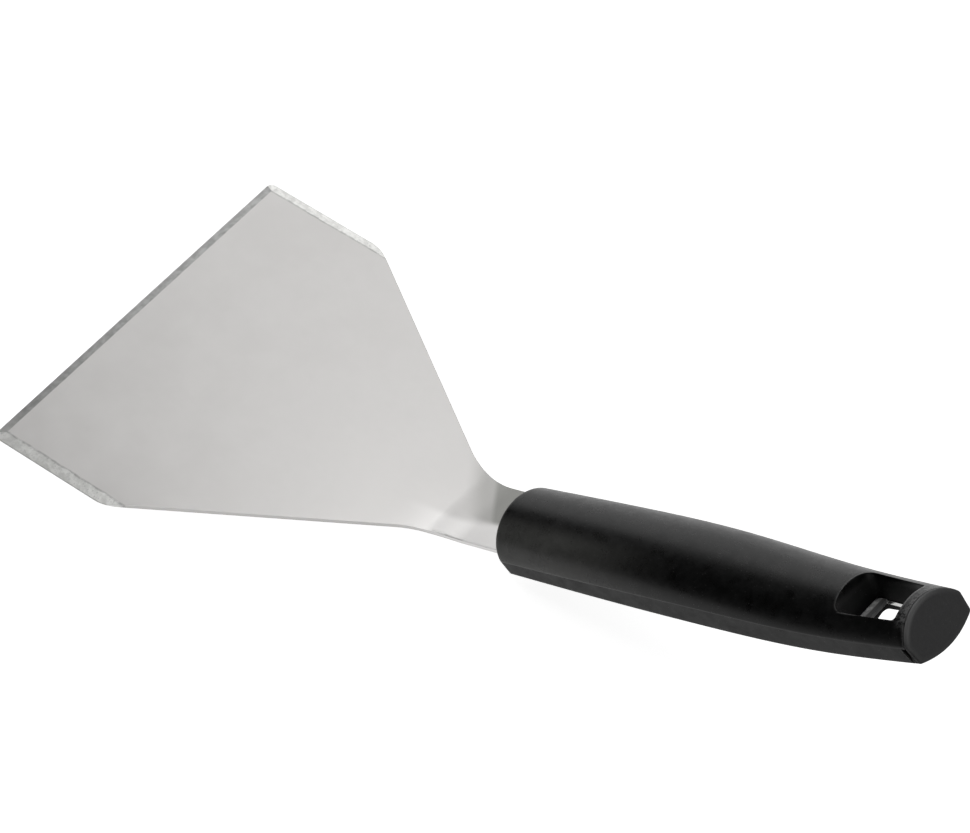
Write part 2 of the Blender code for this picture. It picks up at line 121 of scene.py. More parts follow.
# Handle, in the looks only: the rim's rounding, the shoulder's rounding at the rim, at the
# end of the soft rim and at the handle's end, and the joint line, with a narrower gap
RIM_ROUNDING = 0.0005
SHOULDER_ROUNDING = (0.003, 0.0006, 0.0014)
SOFT_RIM_END = 0.045
JOINT_DROP = 0.0005
JOINT_GAP = 0.00003

# Slot, in the looks only: its bowed mouth and lip, and the thin collar down to the tang
MOUTH_BOW = 0.0021
MOUTH_LIP_SHARE = 0.07
COLLAR_WALL = 0.0006
COLLAR_BASE = 0.001
SLOT_FLARE_SHARE = 0.85

# End, in the looks only: the lower shell's plug inside the rebate, and the cap's face,
# with a narrower gap behind it
PLUG_ROOT = 0.001
PLUG_LOW_DEPTH = 0.0001
CAP_BORDER = 0.0002
CAP_FACE_SHARE = 0.12
CAP_GAP = 0.00005

# Fineness
ARC_STEPS = 16
NECK_STEPS = 40
BEND_STEPS = 36
PLATE_CELL = 0.005
CUT_TOLERANCE = 1e-7
EDGE_SEGMENTS = 2
RIM_SEGMENTS = 4
DOME_ROWS = 48
SIDE_ROWS = 5
BOTTOM_ROWS = 26
ALONG_STEPS = 100
ROW_ARC_STEPS = 4
TABLE_PLACES = 300
TABLE_MARGIN = 0.02
CROSSING_STEPS = 8
SLOT_BEND = 6
CAP_RIM_STEPS = 5
FLAT_SPREAD = 0.985

# The block of a shell's grid that the slot's rings take up: the shares of the handle's
# length where it starts and ends, the grid's rows before it on each side, and how far the
# rings lie from the slot towards the block's edge
UPPER_BLOCK = (0.77, 1.0)
LOWER_BLOCK = (0.785, 0.965)
UPPER_BLOCK_ROWS = 8
LOWER_BLOCK_ROWS = 2
RING_SHARES = (0, 0.14, 0.4, 0.6)

# Which edges are rounded or shaded sharp, and how far the rim's rounding is taken elsewhere
EDGE_ANGLE = radians(15)
BLADE_SHARP_ANGLE = radians(30)
HANDLE_SHARP_ANGLE = radians(35)
SLOT_EDGE_SHARE = 0.7
END_EDGE_SHARE = 0.3

# Marks on the meshes that the finishes read: worn edges that also get a painted highlight, and the
# lower shell's matt side
WORN_AND_HIGHLIT_MARK = "worn_and_highlit"
WORN_AND_HIGHLIT_REACH = 0.0006
CAP_WORN_AND_HIGHLIT_REACH = 0.0009
MATT_MARK = "matt_side"

# Colours
STEEL_LOW = (0.585, 0.575, 0.565)
STEEL_HIGH = (0.625, 0.615, 0.605)
GROUND_LOW = (0.72, 0.72, 0.7)
GROUND_HIGH = (0.9, 0.9, 0.88)
# The front grind: a darker copy of the ground steel, as painted shade
SHADED_FRONT_GROUND_LOW = (0.38, 0.38, 0.375)
SHADED_FRONT_GROUND_HIGH = (0.53, 0.53, 0.525)
# A painted highlight on the front grind's corners and towards its near end
PAINTED_CORNER_HIGHLIGHT = (0.9, 0.9, 0.88)
# A painted highlight on the neck's near side
NECK_PAINTED_HIGHLIGHT = (0.8, 0.79, 0.78)
EDGE_STEEL = (0.74, 0.74, 0.73)
DARK_STEEL = (0.3, 0.3, 0.3)
# A painted shade on the neck's far side, by the rim
NECK_PAINTED_SHADE = (0.3, 0.3, 0.285)
SHEARED_LOW = (0.43, 0.43, 0.43)
SHEARED_HIGH = (0.88, 0.88, 0.87)
# A painted shade on the ledge's last stretch before the hole
LEDGE_PAINTED_SHADE = (0.16, 0.16, 0.16)
PLASTIC_LOW = (0.002, 0.002, 0.002)
PLASTIC_HIGH = (0.006, 0.006, 0.006)
# A pale grey for real worn edges and dust, also used for painted highlights on edges and behind the
# slot
PALE_WEAR_DUST_AND_HIGHLIGHT = (0.24, 0.24, 0.24)
CAP_LOW = (0.062, 0.062, 0.063)
CAP_HIGH = (0.085, 0.085, 0.086)
# A painted sheen on the grip's near side, near the rim
PAINTED_RIM_SHEEN = (0.17, 0.171, 0.162)
RECESS_PLASTIC = (0.004, 0.004, 0.004)

# Steel: its ground edges, with painted highlights on their corners and towards the near end. A blur
# is half the width of a soft border
GRIND_BLUR = 0.0001
GROUND_PATCH_BLUR = 0.15
CORNER_SLOPE = 0.55
NEAR_END_HIGHLIGHT_REACH = 0.018
NEAR_END_HIGHLIGHT_SHARE = 0.45
PIT_SHARE = 0.3
LINE_WANDER = 0.0006
LINE_WIDTH = 0.0006
LINE_START = 0.0025
LINE_START_BLUR = 0.0015
LINE_SHARES = (0.75, 0.3)
LIP_WIDTH = 0.00035
LIP_BLUR = 0.00015
LIP_SHARE = 0.35

# Steel: the painted highlight on the neck's near side, and the painted shade on its far side that
# darkens in two steps
NECK_HIGHLIGHT_LEAN = -0.17
NECK_HIGHLIGHT_EDGE = -0.0024
NECK_HIGHLIGHT_BLUR = 0.002
NECK_HIGHLIGHT_START = -0.03
NECK_HIGHLIGHT_START_BLUR = 0.015
NECK_PATCH_EDGE = -0.0032
NECK_PATCH_SLOPE = 0.66
NECK_PATCH_START = -0.0205
NECK_PATCH_START_BLUR = 0.005
NECK_PATCH_STEP = -0.0118
NECK_PATCH_BLUR = 0.0015
NECK_PATCH_SHARE = 0.48

# Steel: the tang's sheared ledge, how far it runs past its hole's front, and the painted shade at
# its border before the hole
TANG_FINISH_START = 0.101
TANG_FINISH_BLUR = 0.001
SHEARED_PAST = 0.00025
SHEARED_BLUR = 0.00015
LEDGE_SHADE_WIDTH = 0.0017
LEDGE_SHADE_BLUR = 0.0004

# Steel: its gloss and its relief
STEEL_ROUGHNESS = (0.3, 0.36)
GROUND_ROUGHER = 0.08
EDGE_ROUGHER = -0.15
SHEARED_ROUGHER = 0.3
SHEARED_DULLING = 0.8
BRUSHING_STRETCH = (1, 0.02, 1)
CLOUD_BLUR = 0.18
MARK_STRETCH = (0.15, 1, 1)
MARK_HEIGHT = 6.0
LUMP_HEIGHT = 12.0
STEEL_RELIEF = 0.000004

# Handle plastic: its gloss and its relief
PLASTIC_SHEEN = 0.34
PLASTIC_ROUGHNESS = (0.25, 0.33)
BLOT_EDGE = (0.4, 0.62)
BLOT_ROUGHER = 0.05
MATT_ROUGHER = 0.22
RECESS_ROUGHER = 0.4
WORN_AND_HIGHLIT_ROUGHER = -0.04
BLOTCH_HEIGHT = 0.35
BLOTCH_BLUR = 0.2
PLASTIC_RELIEF = 0.00002

# Handle plastic: a painted sheen near the rim, the slot's recess, and worn edges with painted
# highlights
PAINTED_SHEEN_END = 0.05
PAINTED_SHEEN_END_BLUR = 0.035
PAINTED_SHEEN_SIDE = -0.0085
PAINTED_SHEEN_SIDE_BLUR = 0.004
PAINTED_SHEEN_CLOUD = (0.4, 1.0)
MATT_PAINTED_SHEEN = 0.1
RECESS_FRONT = 0.00375
RECESS_REAR = 0.00075
RECESS_BLUR = 0.00025
RECESS_TOP = 0.00925
RECESS_TOP_BLUR = 0.00175
WEAR_PATCH_WIDTH = 0.2
WORN_AND_HIGHLIT_SHARE = 0.7
SPECK_EDGE = (0.15, 0.4)
DUST_SHARE = 0.2
# Behind the slot: scuffs, with a painted highlight high up on the near side
END_WORN_HIGHLIT_RISE = 0.0025
END_WORN_HIGHLIT_HEIGHT = 0.012
END_WORN_HIGHLIT_BLUR = 0.0015
END_WORN_HIGHLIT_SIDE = (-0.012, 0.004)
END_WORN_HIGHLIT_FAR_SHARE = 0.45
END_WORN_HIGHLIT_SCUFFS = (0.4, 0.58)
WORN_AND_HIGHLIT_END_SHARE = 0.95

# Cap plastic
CAP_SHEEN = 0.4
CAP_ROUGHNESS = (0.55, 0.66)
CAP_RELIEF = 0.00003
CAP_DUST_SHARE = 0.15
# The cap's rim: worn, with a painted highlight high up on the near side
CAP_WORN_HIGHLIT_HEIGHT = 0.008
CAP_WORN_HIGHLIT_BLUR = 0.004
CAP_WORN_HIGHLIT_SHARES = (0.15, 0.9)
CAP_WORN_HIGHLIT_SIDE = (-0.004, 0.012)
CAP_WORN_HIGHLIT_FAR_SHARE = 0.25

# The studio: each softbox has its compass and height angles in degrees, its reach, its
# width and height, and its power
FLOOR_COLOUR = (0.86, 0.86, 0.86, 1)
FLOOR_GLOW = 0.9
FLOOR_SHEEN = 0.6
FLOOR_ROUGHNESS = 0.9
FLOOR_GLOSS = 0.1
FLOOR_REACH = 6
FLOOR_HEIGHT = -0.0002
ROOM_LIGHT = 0.03
LAMP_TARGET = (-0.05, 0, 0)
SOFTBOXES = (
    ("low_back_softbox", 114, 14, 1.3, (0.6, 0.5), 1.3),
    ("low_left_softbox", 142, 19, 1.3, (0.6, 0.75), 1.3),
    ("back_softbox", 128, 38, 1.3, (0.5, 0.5), 0.76),
    ("left_softbox", 155, 38, 1.3, (0.5, 0.5), 0.4),
    ("high_softbox", 120, 62, 1.3, (0.5, 0.5), 1.64),
    ("top_softbox", 200, 70, 1.3, (0.6, 0.6), 1.8),
    ("right_softbox", 32, 30, 1.3, (0.8, 0.8), 1.8),
)

BEND_TANGENT = BEND_RADIUS * tan(HANDLE_TILT / 2)
BEND_START = NECK_KNEE - BEND_TANGENT
BEND_LENGTH = BEND_RADIUS * HANDLE_TILT
HALF_THICKNESS = BLADE_THICKNESS / 2
SLOT_END = HANDLE_LENGTH - SLOT_SETBACK
SLOT_START = SLOT_END - SLOT_LENGTH
SHELL_END = HANDLE_LENGTH - (CAP_THICKNESS + CAP_GAP) / cos(END_SLANT)
REBATE_START = HANDLE_LENGTH - (CAP_THICKNESS + FIT + END_REBATE_LENGTH) / cos(END_SLANT)
TANG_HALF_WIDTH = SLOT_WIDTH / 2 - LEDGE_SIDES + TANG_STRIP
TANG_END = SLOT_END - LEDGE_ENDS + TANG_TAIL
FRONT_X = cad_box[0][0]
HANDLE_PLACE = (FRONT_X + NECK_KNEE + HANDLE_START * cos(HANDLE_TILT), 0,
                HALF_THICKNESS + HANDLE_START * sin(HANDLE_TILT))


def fillet(corners, steps=ARC_STEPS):
    """Rounds an outline, given as (x, y, radius), with an arc at each corner."""
    points = []
    for index, (x, y, radius) in enumerate(corners):
        here = Vector((x, y))
        if radius == 0:
            points.append((x, y))
            continue
        back = (Vector(corners[index - 1][:2]) - here).normalized()
        ahead = (Vector(corners[(index + 1) % len(corners)][:2]) - here).normalized()
        half = back.angle(ahead) / 2
        centre = here + (back + ahead).normalized() * radius / sin(half)
        first = here + back * radius / tan(half) - centre
        turn = first.angle_signed(here + ahead * radius / tan(half) - centre)
        arc_steps = NECK_STEPS if radius == NECK_FILLET else steps
        for step in range(arc_steps + 1):
            arm = first.copy()
            arm.rotate(Matrix.Rotation(-turn * step / arc_steps, 2))
            points.append(tuple(centre + arm))
    return points


def add_object(name, data):
    """A new object in the scene, with its mesh, lamp or camera."""
    obj = bpy.data.objects.new(name, data)
    bpy.context.scene.collection.objects.link(obj)
    return obj


def object_from(bm, name):
    """Turns a bmesh into a new object, with its faces pointing outwards."""
    bmesh.ops.recalc_face_normals(bm, faces=bm.faces)
    mesh = bpy.data.meshes.new(name)
    bm.to_mesh(mesh)
    bm.free()
    return add_object(name, mesh)


def bake(obj, material):
    """Turns an object's modifiers into plain mesh of one material."""
    evaluated = obj.evaluated_get(bpy.context.evaluated_depsgraph_get())
    mesh = bpy.data.meshes.new_from_object(evaluated)
    obj.modifiers.clear()
    obj.data = mesh
    mesh.name = obj.name
    mesh.materials.clear()
    mesh.materials.append(material)
    return mesh


def finish_mesh(obj, angle, material):
    """Bakes an object and shades it smooth, up to its sharp edges."""
    mesh = bake(obj, material)
    mesh.shade_smooth()
    mesh.set_sharp_from_angle(angle=angle)


def flat_place(along):
    """Where a place along the handle lies on the blade's flat blank, before it is bent."""
    return BEND_START + BEND_LENGTH - BEND_TANGENT + HANDLE_START + along


def blank_outline():
    """The flat blank's outline, from the blade's front edge back to the end of the tang."""
    half = BLADE_WIDTH / 2
    neck_half = NECK_WIDTH / 2
    taper_end = SIDE_LENGTH + (half - neck_half) / tan(TAPER_ANGLE)
    neck_end = flat_place(NECK_ENTRY)
    tang_start = neck_end + neck_half - TANG_HALF_WIDTH
    side = [
        (0, half, FRONT_CORNER_RADIUS),
        (SIDE_LENGTH, half, SIDE_CORNER_RADIUS),
        (taper_end, neck_half, NECK_FILLET),
        (neck_end, neck_half, 0),
        (tang_start, TANG_HALF_WIDTH, 0),
        (flat_place(TANG_END), TANG_HALF_WIDTH, 0),
    ]
    return fillet(side + [(x, -y, radius) for x, y, radius in reversed(side)])


def cut(bm, place, normal, keep_all=False):
    """Cuts a mesh with a plane: either takes its outer side off, or only adds the edges."""
    geometry = list(bm.verts) + list(bm.edges) + list(bm.faces)
    made = bmesh.ops.bisect_plane(bm, geom=geometry, plane_co=place, plane_no=normal,
                                  clear_outer=not keep_all, dist=CUT_TOLERANCE)
    if not keep_all:
        edges = [part for part in made["geom_cut"] if isinstance(part, bmesh.types.BMEdge)]
        bmesh.ops.edgenet_fill(bm, edges=edges)


def prism(outline, low_height, high_height):
    """A closed block over an outline, between two heights."""
    bm = bmesh.new()
    low = [bm.verts.new((x, y, low_height)) for x, y in outline]
    high = [bm.verts.new((x, y, high_height)) for x, y in outline]
    bm.faces.new(low)
    bm.faces.new(high)
    for index in range(len(outline)):
        after = (index + 1) % len(outline)
        bm.faces.new((low[index], low[after], high[after], high[index]))
    return bm


def ground_blank():
    """The flat blank, ground down to its land along the front and both side edges."""
    bm = prism(blank_outline(), 0, BLADE_THICKNESS)
    side_start = BLADE_WIDTH / 2 - SIDE_GRIND
    step = BLADE_THICKNESS - EDGE_LAND
    cut(bm, (FRONT_GRIND, 0, BLADE_THICKNESS), (-step, 0, FRONT_GRIND))
    for side in (-1, 1):
        cut(bm, (0, side * side_start, BLADE_THICKNESS), (0, side * step, SIDE_GRIND))
    return object_from(bm, "scraper_blade")


def hole_punch():
    """A block with the outline of the tang's hole, thick enough to go right through."""
    start = flat_place(SLOT_START + LEDGE_ENDS)
    end = flat_place(SLOT_END - LEDGE_ENDS)
    half = SLOT_WIDTH / 2 - LEDGE_SIDES
    corners = [(x, y, TANG_HOLE_RADIUS)
               for x, y in ((start, -half), (end, -half), (end, half), (start, half))]
    return object_from(prism(fillet(corners), -BLADE_THICKNESS, 2 * BLADE_THICKNESS), "tang_hole")


def cut_cells(blade):
    """Cuts the blank's faces into cells, closer together where it is going to bend."""
    bm = bmesh.new()
    bm.from_mesh(blade.data)
    for step in range(1, int(BLADE_WIDTH / PLATE_CELL)):
        cut(bm, (0, BLADE_WIDTH / 2 - step * PLATE_CELL, 0), (0, 1, 0), True)
    for step in range(1, int(BEND_START / PLATE_CELL)):
        cut(bm, (step * PLATE_CELL, 0, 0), (1, 0, 0), True)
    for step in range(BEND_STEPS + 1):
        cut(bm, (BEND_START + BEND_LENGTH * step / BEND_STEPS, 0, 0), (1, 0, 0), True)
    bm.to_mesh(blade.data)
    bm.free()


def bend_neck(blade, material):
    """Bends the blank at its neck and sets it on its place, with geometry nodes."""
    bend = blade.modifiers.new("bend", "NODES")
    bend.node_group = bend_tree()
    given = {"Bend start": BEND_START, "Bend radius": BEND_RADIUS, "Bend angle": HANDLE_TILT,
             "Middle height": HALF_THICKNESS, "Front edge": FRONT_X, "Finish": material}
    for item in bend.node_group.interface.items_tree:
        if item.name in given:
            bend[item.identifier] = given[item.name]
    weight = blade.modifiers.new("weight", "WEIGHTED_NORMAL")
    weight.keep_sharp = True
    bake(blade, material)


def make_blade(material):
    """The steel sheet: ground, punched for the slot, rounded at its edges and bent."""
    blade = ground_blank()
    punch = hole_punch()
    hole = blade.modifiers.new("hole", "BOOLEAN")
    hole.solver = "EXACT"
    hole.object = punch
    edges = blade.modifiers.new("edges", "BEVEL")
    edges.width = EDGE_ROUNDING
    edges.segments = EDGE_SEGMENTS
    edges.limit_method = "ANGLE"
    edges.angle_limit = EDGE_ANGLE
    finish_mesh(blade, BLADE_SHARP_ANGLE, material)
    bpy.data.objects.remove(punch, do_unlink=True)
    cut_cells(blade)
    bend_neck(blade, material)
    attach(blade, "root")
    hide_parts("blade")


def bend_tree():
    """Geometry nodes that bend a flat blank round a roller, and set it on its place."""
    tree = bpy.data.node_groups.new("neck_bend", "GeometryNodeTree")
    face = tree.interface
    face.new_socket("Geometry", in_out="INPUT", socket_type="NodeSocketGeometry")
    for name in ("Bend start", "Bend radius", "Bend angle", "Middle height", "Front edge"):
        face.new_socket(name, in_out="INPUT", socket_type="NodeSocketFloat")
    face.new_socket("Finish", in_out="INPUT", socket_type="NodeSocketMaterial")
    face.new_socket("Geometry", in_out="OUTPUT", socket_type="NodeSocketGeometry")
    graph = Graph(tree)
    given = graph.add("NodeGroupInput").outputs
    x, y, z = graph.split(graph.add("GeometryNodeInputPosition").outputs["Position"])
    radius = given["Bend radius"]
    run = graph.math("MAXIMUM", graph.math("SUBTRACT", x, given["Bend start"]), 0.0)
    curved = graph.math("MINIMUM", run, graph.product(radius, given["Bend angle"]))
    straight = graph.math("SUBTRACT", run, curved)
    turn = graph.math("DIVIDE", curved, radius)
    sine = graph.math("SINE", turn)
    cosine = graph.math("COSINE", turn)
    arm = graph.math("SUBTRACT", radius, graph.math("SUBTRACT", z, given["Middle height"]))
    flat = graph.math("MINIMUM", x, given["Bend start"])
    forward = graph.math("ADD", graph.math("ADD", flat, graph.product(arm, sine)),
                         graph.product(straight, cosine))
    upward = graph.math("ADD", graph.math("SUBTRACT", radius, graph.product(arm, cosine)),
                        graph.product(straight, sine))
    bent = graph.add("ShaderNodeCombineXYZ")
    graph.put(graph.math("ADD", forward, given["Front edge"]), bent.inputs["X"])
    graph.put(y, bent.inputs["Y"])
    graph.put(graph.math("ADD", upward, given["Middle height"]), bent.inputs["Z"])
    move = graph.add("GeometryNodeSetPosition")
    graph.put(given["Geometry"], move.inputs["Geometry"])
    graph.put(bent.outputs["Vector"], move.inputs["Position"])
    real = graph.add("GeometryNodeRealizeInstances")
    graph.put(move.outputs["Geometry"], real.inputs["Geometry"])
    paint = graph.add("GeometryNodeSetMaterial")
    graph.put(real.outputs["Geometry"], paint.inputs["Geometry"])
    graph.put(given["Finish"], paint.inputs["Material"])
    graph.put(paint.outputs["Geometry"], graph.add("NodeGroupOutput").inputs["Geometry"])
    return tree


def spline(values):
    """A natural cubic spline through values spaced evenly from 0 to 1."""
    count = len(values)
    gap = 1 / (count - 1)
    system = np.eye(count)
    right = np.zeros(count)
    for k in range(1, count - 1):
        system[k, k - 1:k + 2] = (1, 4, 1)
        right[k] = 6 * (values[k - 1] - 2 * values[k] + values[k + 1]) / gap ** 2
    bends = np.linalg.solve(system, right)

    def read(along):
        place = along / HANDLE_LENGTH
        k = min(max(int(place / gap), 0), count - 2)
        after = place / gap - k
        before = 1 - after
        curve = (before ** 3 - before) * bends[k] + (after ** 3 - after) * bends[k + 1]
        return before * values[k] + after * values[k + 1] + curve * gap ** 2 / 6

    return read


half_width_at = spline(HALF_WIDTH)
shoulder_at = spline(SHOULDER_HEIGHT)
dome_rise_at = spline(DOME_RISE)
dome_arc_at = spline(DOME_HALF_ARC)
side_drop_at = spline(SIDE_DROP)
side_draft_at = spline(SIDE_DRAFT)


def dome_height(along, y):
    """The dome's height over the tang's middle at a place."""
    arc = dome_arc_at(along)
    angle = np.arcsin(np.clip(y / half_width_at(along), -1, 1) * sin(arc))
    return shoulder_at(along) + dome_rise_at(along) * (cos(angle) - cos(arc)) / (1 - cos(arc))


def bottom_height(along, y):
    """The bottom's height at a place, below the tang's middle."""
    drop = side_drop_at(along)
    low_half = half_width_at(along) - drop * side_draft_at(along)
    return shoulder_at(along) - drop - BOTTOM_BULGE * (1 - (y / low_half) ** 2)


def shoulder_rounding(along):
    """The radius of the crease between the dome and a side."""
    front, middle, rear = SHOULDER_ROUNDING
    if along < SOFT_RIM_END:
        return front + (middle - front) * max(along / SOFT_RIM_END, 0)
    share = min((along - SOFT_RIM_END) / (HANDLE_LENGTH - SOFT_RIM_END), 1)
    return middle + (rear - middle) * share ** 2


def joint_at(along):
    """Half the handle's width, and the height, at the joint line on its side."""
    return half_width_at(along) - JOINT_DROP * side_draft_at(along), shoulder_at(along) - JOINT_DROP


def upper_rows(along):
    """The section from the right joint line over the dome to the left one."""
    half = half_width_at(along)
    shoulder = shoulder_at(along)
    arc = dome_arc_at(along)
    joint, low = joint_at(along)
    corners = [(joint, low, 0), (half, shoulder, shoulder_rounding(along))]
    for row in range(1, DOME_ROWS):
        angle = arc * (1 - 2 * row / DOME_ROWS)
        y = half * sin(angle) / sin(arc)
        height = dome_rise_at(along) * (cos(angle) - cos(arc)) / (1 - cos(arc))
        corners.append((y, shoulder + height, 0))
    corners += [(-half, shoulder, shoulder_rounding(along)), (-joint, low, 0)]
    return fillet(corners, ROW_ARC_STEPS)


def lower_rows(along, inset=0.0):
    """The section from the left joint line under the bottom to the right one."""
    joint, high = joint_at(along)
    draft = side_draft_at(along)
    drop = side_drop_at(along) - JOINT_DROP
    joint -= inset
    low_half = joint - drop * draft
    low = high - drop
    corners = []
    for row in range(SIDE_ROWS):
        share = row / SIDE_ROWS
        corners.append((-joint + drop * draft * share, high - drop * share, 0))
    corners.append((-low_half, low + inset, LOW_CORNER_RADIUS))
    for row in range(1, BOTTOM_ROWS):
        across = 2 * row / BOTTOM_ROWS - 1
        bulge = BOTTOM_BULGE * (1 - across ** 2)
        corners.append((low_half * across, low + inset - bulge, 0))
    corners.append((low_half, low + inset, LOW_CORNER_RADIUS))
    for row in reversed(range(SIDE_ROWS)):
        share = row / SIDE_ROWS
        corners.append((joint - drop * draft * share, high - drop * share, 0))
    return fillet(corners, ROW_ARC_STEPS)


def plug_rows(along):
    """The lower section, drawn in at its joint and less and less towards its bottom."""
    half, joint = joint_at(along)
    drop = side_drop_at(along) - JOINT_DROP
    low_half = half - END_REBATE_DEPTH - drop * side_draft_at(along)
    spread = END_REBATE_DEPTH - PLUG_LOW_DEPTH
    places = []
    for y, height in lower_rows(along, END_REBATE_DEPTH):
        share = min((joint - height) / (drop - END_REBATE_DEPTH), 1) ** 3
        wider = y * (1 + spread / low_half * share)
        places.append((wider, height - spread * share))
    return places


def whole_rows(along):
    """The whole section, once round from the right joint line."""
    return upper_rows(along) + lower_rows(along)[1:-1]


def table_of(rows_of):
    """A quick reader of a section's rows at any place along the handle."""
    places = np.linspace(-TABLE_MARGIN, HANDLE_LENGTH + TABLE_MARGIN, TABLE_PLACES)
    values = np.array([rows_of(place) for place in places])

    def read(row, along):
        return (np.interp(along, places, values[:, row, 0]),
                np.interp(along, places, values[:, row, 1]))

    return read, values.shape[1]


def crossing(read, row, position, slant):
    """How far along the handle one row of a section meets a slanted plane."""
    along = position
    for _ in range(CROSSING_STEPS):
        along = position - tan(slant) * read(row, along)[1]
    return along


def slot_half(along, height):
    """Half the slot's width at a place and height: in the dome it is drafted to its mouth."""
    share = (along - SLOT_START) / SLOT_LENGTH
    mouth = SLOT_MOUTH_FRONT + (SLOT_MOUTH_REAR - SLOT_MOUTH_FRONT) * share
    draft = (mouth - SLOT_WIDTH) / 2 / SLOT_MOUTH_HEIGHT
    return SLOT_WIDTH / 2 + draft * max(height, 0)


def mouth_half(along, y):
    """Half the slot's width where it meets the dome."""
    for _ in range(CROSSING_STEPS):
        half = slot_half(along, dome_height(along, y))
        y = half if y > 0 else -half
    return half


def bowed(ring):
    """The slot's outline at its mouth, where its front end bows out towards the blade."""
    places = []
    for s, y in ring:
        share = max(1 - (s - SLOT_START) / SLOT_FRONT_RADIUS, 0)
        across = min(abs(y) / (SLOT_MOUTH_FRONT / 2), 1)
        places.append((s - MOUTH_BOW * share * (1 - across ** 3), y))
    return places


def slot_ring(grow, half_at, sides, ends):
    """The slot's outline grown outwards, with a set count of points on each of its sides."""
    start = SLOT_START - grow
    end = SLOT_END + grow
    half = SLOT_WIDTH / 2 + grow
    front = SLOT_FRONT_RADIUS + grow
    rear = SLOT_REAR_RADIUS + grow

    def arc(cx, cy, radius, first, last):
        turns = [first + (last - first) * k / (2 * SLOT_BEND) for k in range(2 * SLOT_BEND + 1)]
        return [(cx + radius * cos(turn), cy + radius * sin(turn)) for turn in turns]

    def straight(a, b, count):
        return [(a[0] + (b[0] - a[0]) * k / count, a[1] + (b[1] - a[1]) * k / count)
                for k in range(1, count)]

    corners = [
        arc(start + front, half - front, front, pi / 2, pi),
        arc(start + front, -half + front, front, pi, 3 * pi / 2),
        arc(end - rear, -half + rear, rear, 3 * pi / 2, 2 * pi),
        arc(end - rear, half - rear, rear, 0, pi / 2),
    ]
    ring = []
    for index, corner in enumerate(corners):
        after = corners[(index + 1) % len(corners)]
        count = (ends, sides)[index % 2] - 2 * SLOT_BEND
        ring += corner[SLOT_BEND:] + straight(corner[-1], after[0], count) + after[:SLOT_BEND]
    return [(s, y * (half_at(s, y) + grow) / half) for s, y in ring]


def block_ring(first_row, last_row, first_step, last_step):
    """The places of a block's edge in a sheet's grid, in the slot outline's order."""
    front = [(first_step, row) for row in range(first_row, last_row)]
    left = [(step, last_row) for step in range(first_step, last_step)]
    rear = [(last_step, row) for row in range(last_row, first_row, -1)]
    right = [(step, first_row) for step in range(last_step, first_step, -1)]
    return front + left + rear + right


def sheet(bm, grid, block, ring, height, flip):
    """Faces over a grid of points, with a patch of rings between the slot and the block."""
    verts = {}
    first_row, last_row, first_step, last_step = block
    for step, line in enumerate(grid):
        for row, point in enumerate(line):
            if not (first_row < row < last_row and first_step < step < last_step):
                verts[step, row] = bm.verts.new(point)
    for step in range(len(grid) - 1):
        for row in range(len(grid[0]) - 1):
            if first_row <= row < last_row and first_step <= step < last_step:
                continue
            face = (verts[step, row], verts[step, row + 1], verts[step + 1, row + 1],
                    verts[step + 1, row])
            bm.faces.new(face[::-1] if flip else face)
    edge = [verts[place] for place in block_ring(*block)]
    rings = []
    for share in RING_SHARES:
        line = []
        for (s, y), outer in zip(ring, edge):
            along = s + (outer.co.x - s) * share
            across = y + (outer.co.y - y) * share
            line.append(bm.verts.new((along, across, height(along, across))))
        rings.append(line)
    rings.append(edge)
    for inner, outer in zip(rings, rings[1:]):
        bridge(bm, inner, outer, not flip)
    return verts, rings[0]


def bridge(bm, first, second, turned=False):
    """A band of faces between two closed rings of points."""
    count = len(first)
    for k in range(count):
        after = (k + 1) % count
        face = (first[k], second[k], second[after], first[after])
        bm.faces.new(face[::-1] if turned else face)


def to_row_frame(bm):
    """Moves a mesh from the handle's own frame to the object's."""
    turn = Matrix.Rotation(-HANDLE_TILT, 4, "Y")
    bmesh.ops.transform(bm, matrix=Matrix.Translation(HANDLE_PLACE) @ turn, verts=bm.verts)


def shell_grids(read, count, lead, end_position, lift):
    """Points over a shell's outside, and over its flat joint face, from the rim to the end."""
    rows = count - 1
    fronts = [crossing(read, row, 0, RIM_SLANT) for row in range(count)]
    ends = [crossing(read, row, end_position, END_SLANT) for row in range(count)]
    middle = np.array([read(row, HANDLE_LENGTH / 2)[0] for row in range(count)])
    across = middle / abs(middle).max() * FLAT_SPREAD
    for k in range(lead):
        across[k] = (1 - (1 - FLAT_SPREAD) * k / lead) * np.sign(across[k])
        across[rows - k] = -across[k]
    skin_grid = []
    flat_grid = []
    for share in np.linspace(0, 1, ALONG_STEPS + 1):
        skin_line = []
        for row in range(count):
            along = fronts[row] + (ends[row] - fronts[row]) * share
            skin_line.append((along, *read(row, along)))
        place = fronts[0] + (ends[0] - fronts[0]) * share
        half, joint = joint_at(place)
        flat_line = [(place, across[row] * half, joint + lift) for row in range(count)]
        for row in (0, rows):
            skin_line[row] = flat_line[row]
        skin_grid.append(skin_line)
        flat_grid.append(flat_line)
    return skin_grid, flat_grid


def mark_points(obj, name, reach, places):
    """Gives each point of a mesh within reach of the given places a mark of 1, and others 0."""
    tree = KDTree(len(places))
    for index, place in enumerate(places):
        tree.insert(place, index)
    tree.balance()
    marks = obj.data.attributes.new(name, "FLOAT", "POINT")
    for vert, mark in zip(obj.data.vertices, marks.data):
        mark.value = 1.0 if tree.find(vert.co)[2] < reach else 0.0


def close_end(bm, skin, flat, step, rows, weights, share):
    """Joins a curved sheet to its flat one at one end, with a share of the rim's rounding."""
    for row in range(rows):
        loop = [skin[step, row], skin[step, row + 1]]
        for vert in (flat[step, row + 1], flat[step, row]):
            if vert not in loop:
                loop.append(vert)
        bm.faces.new(loop)
        bm.edges.get(loop[:2])[weights] = share


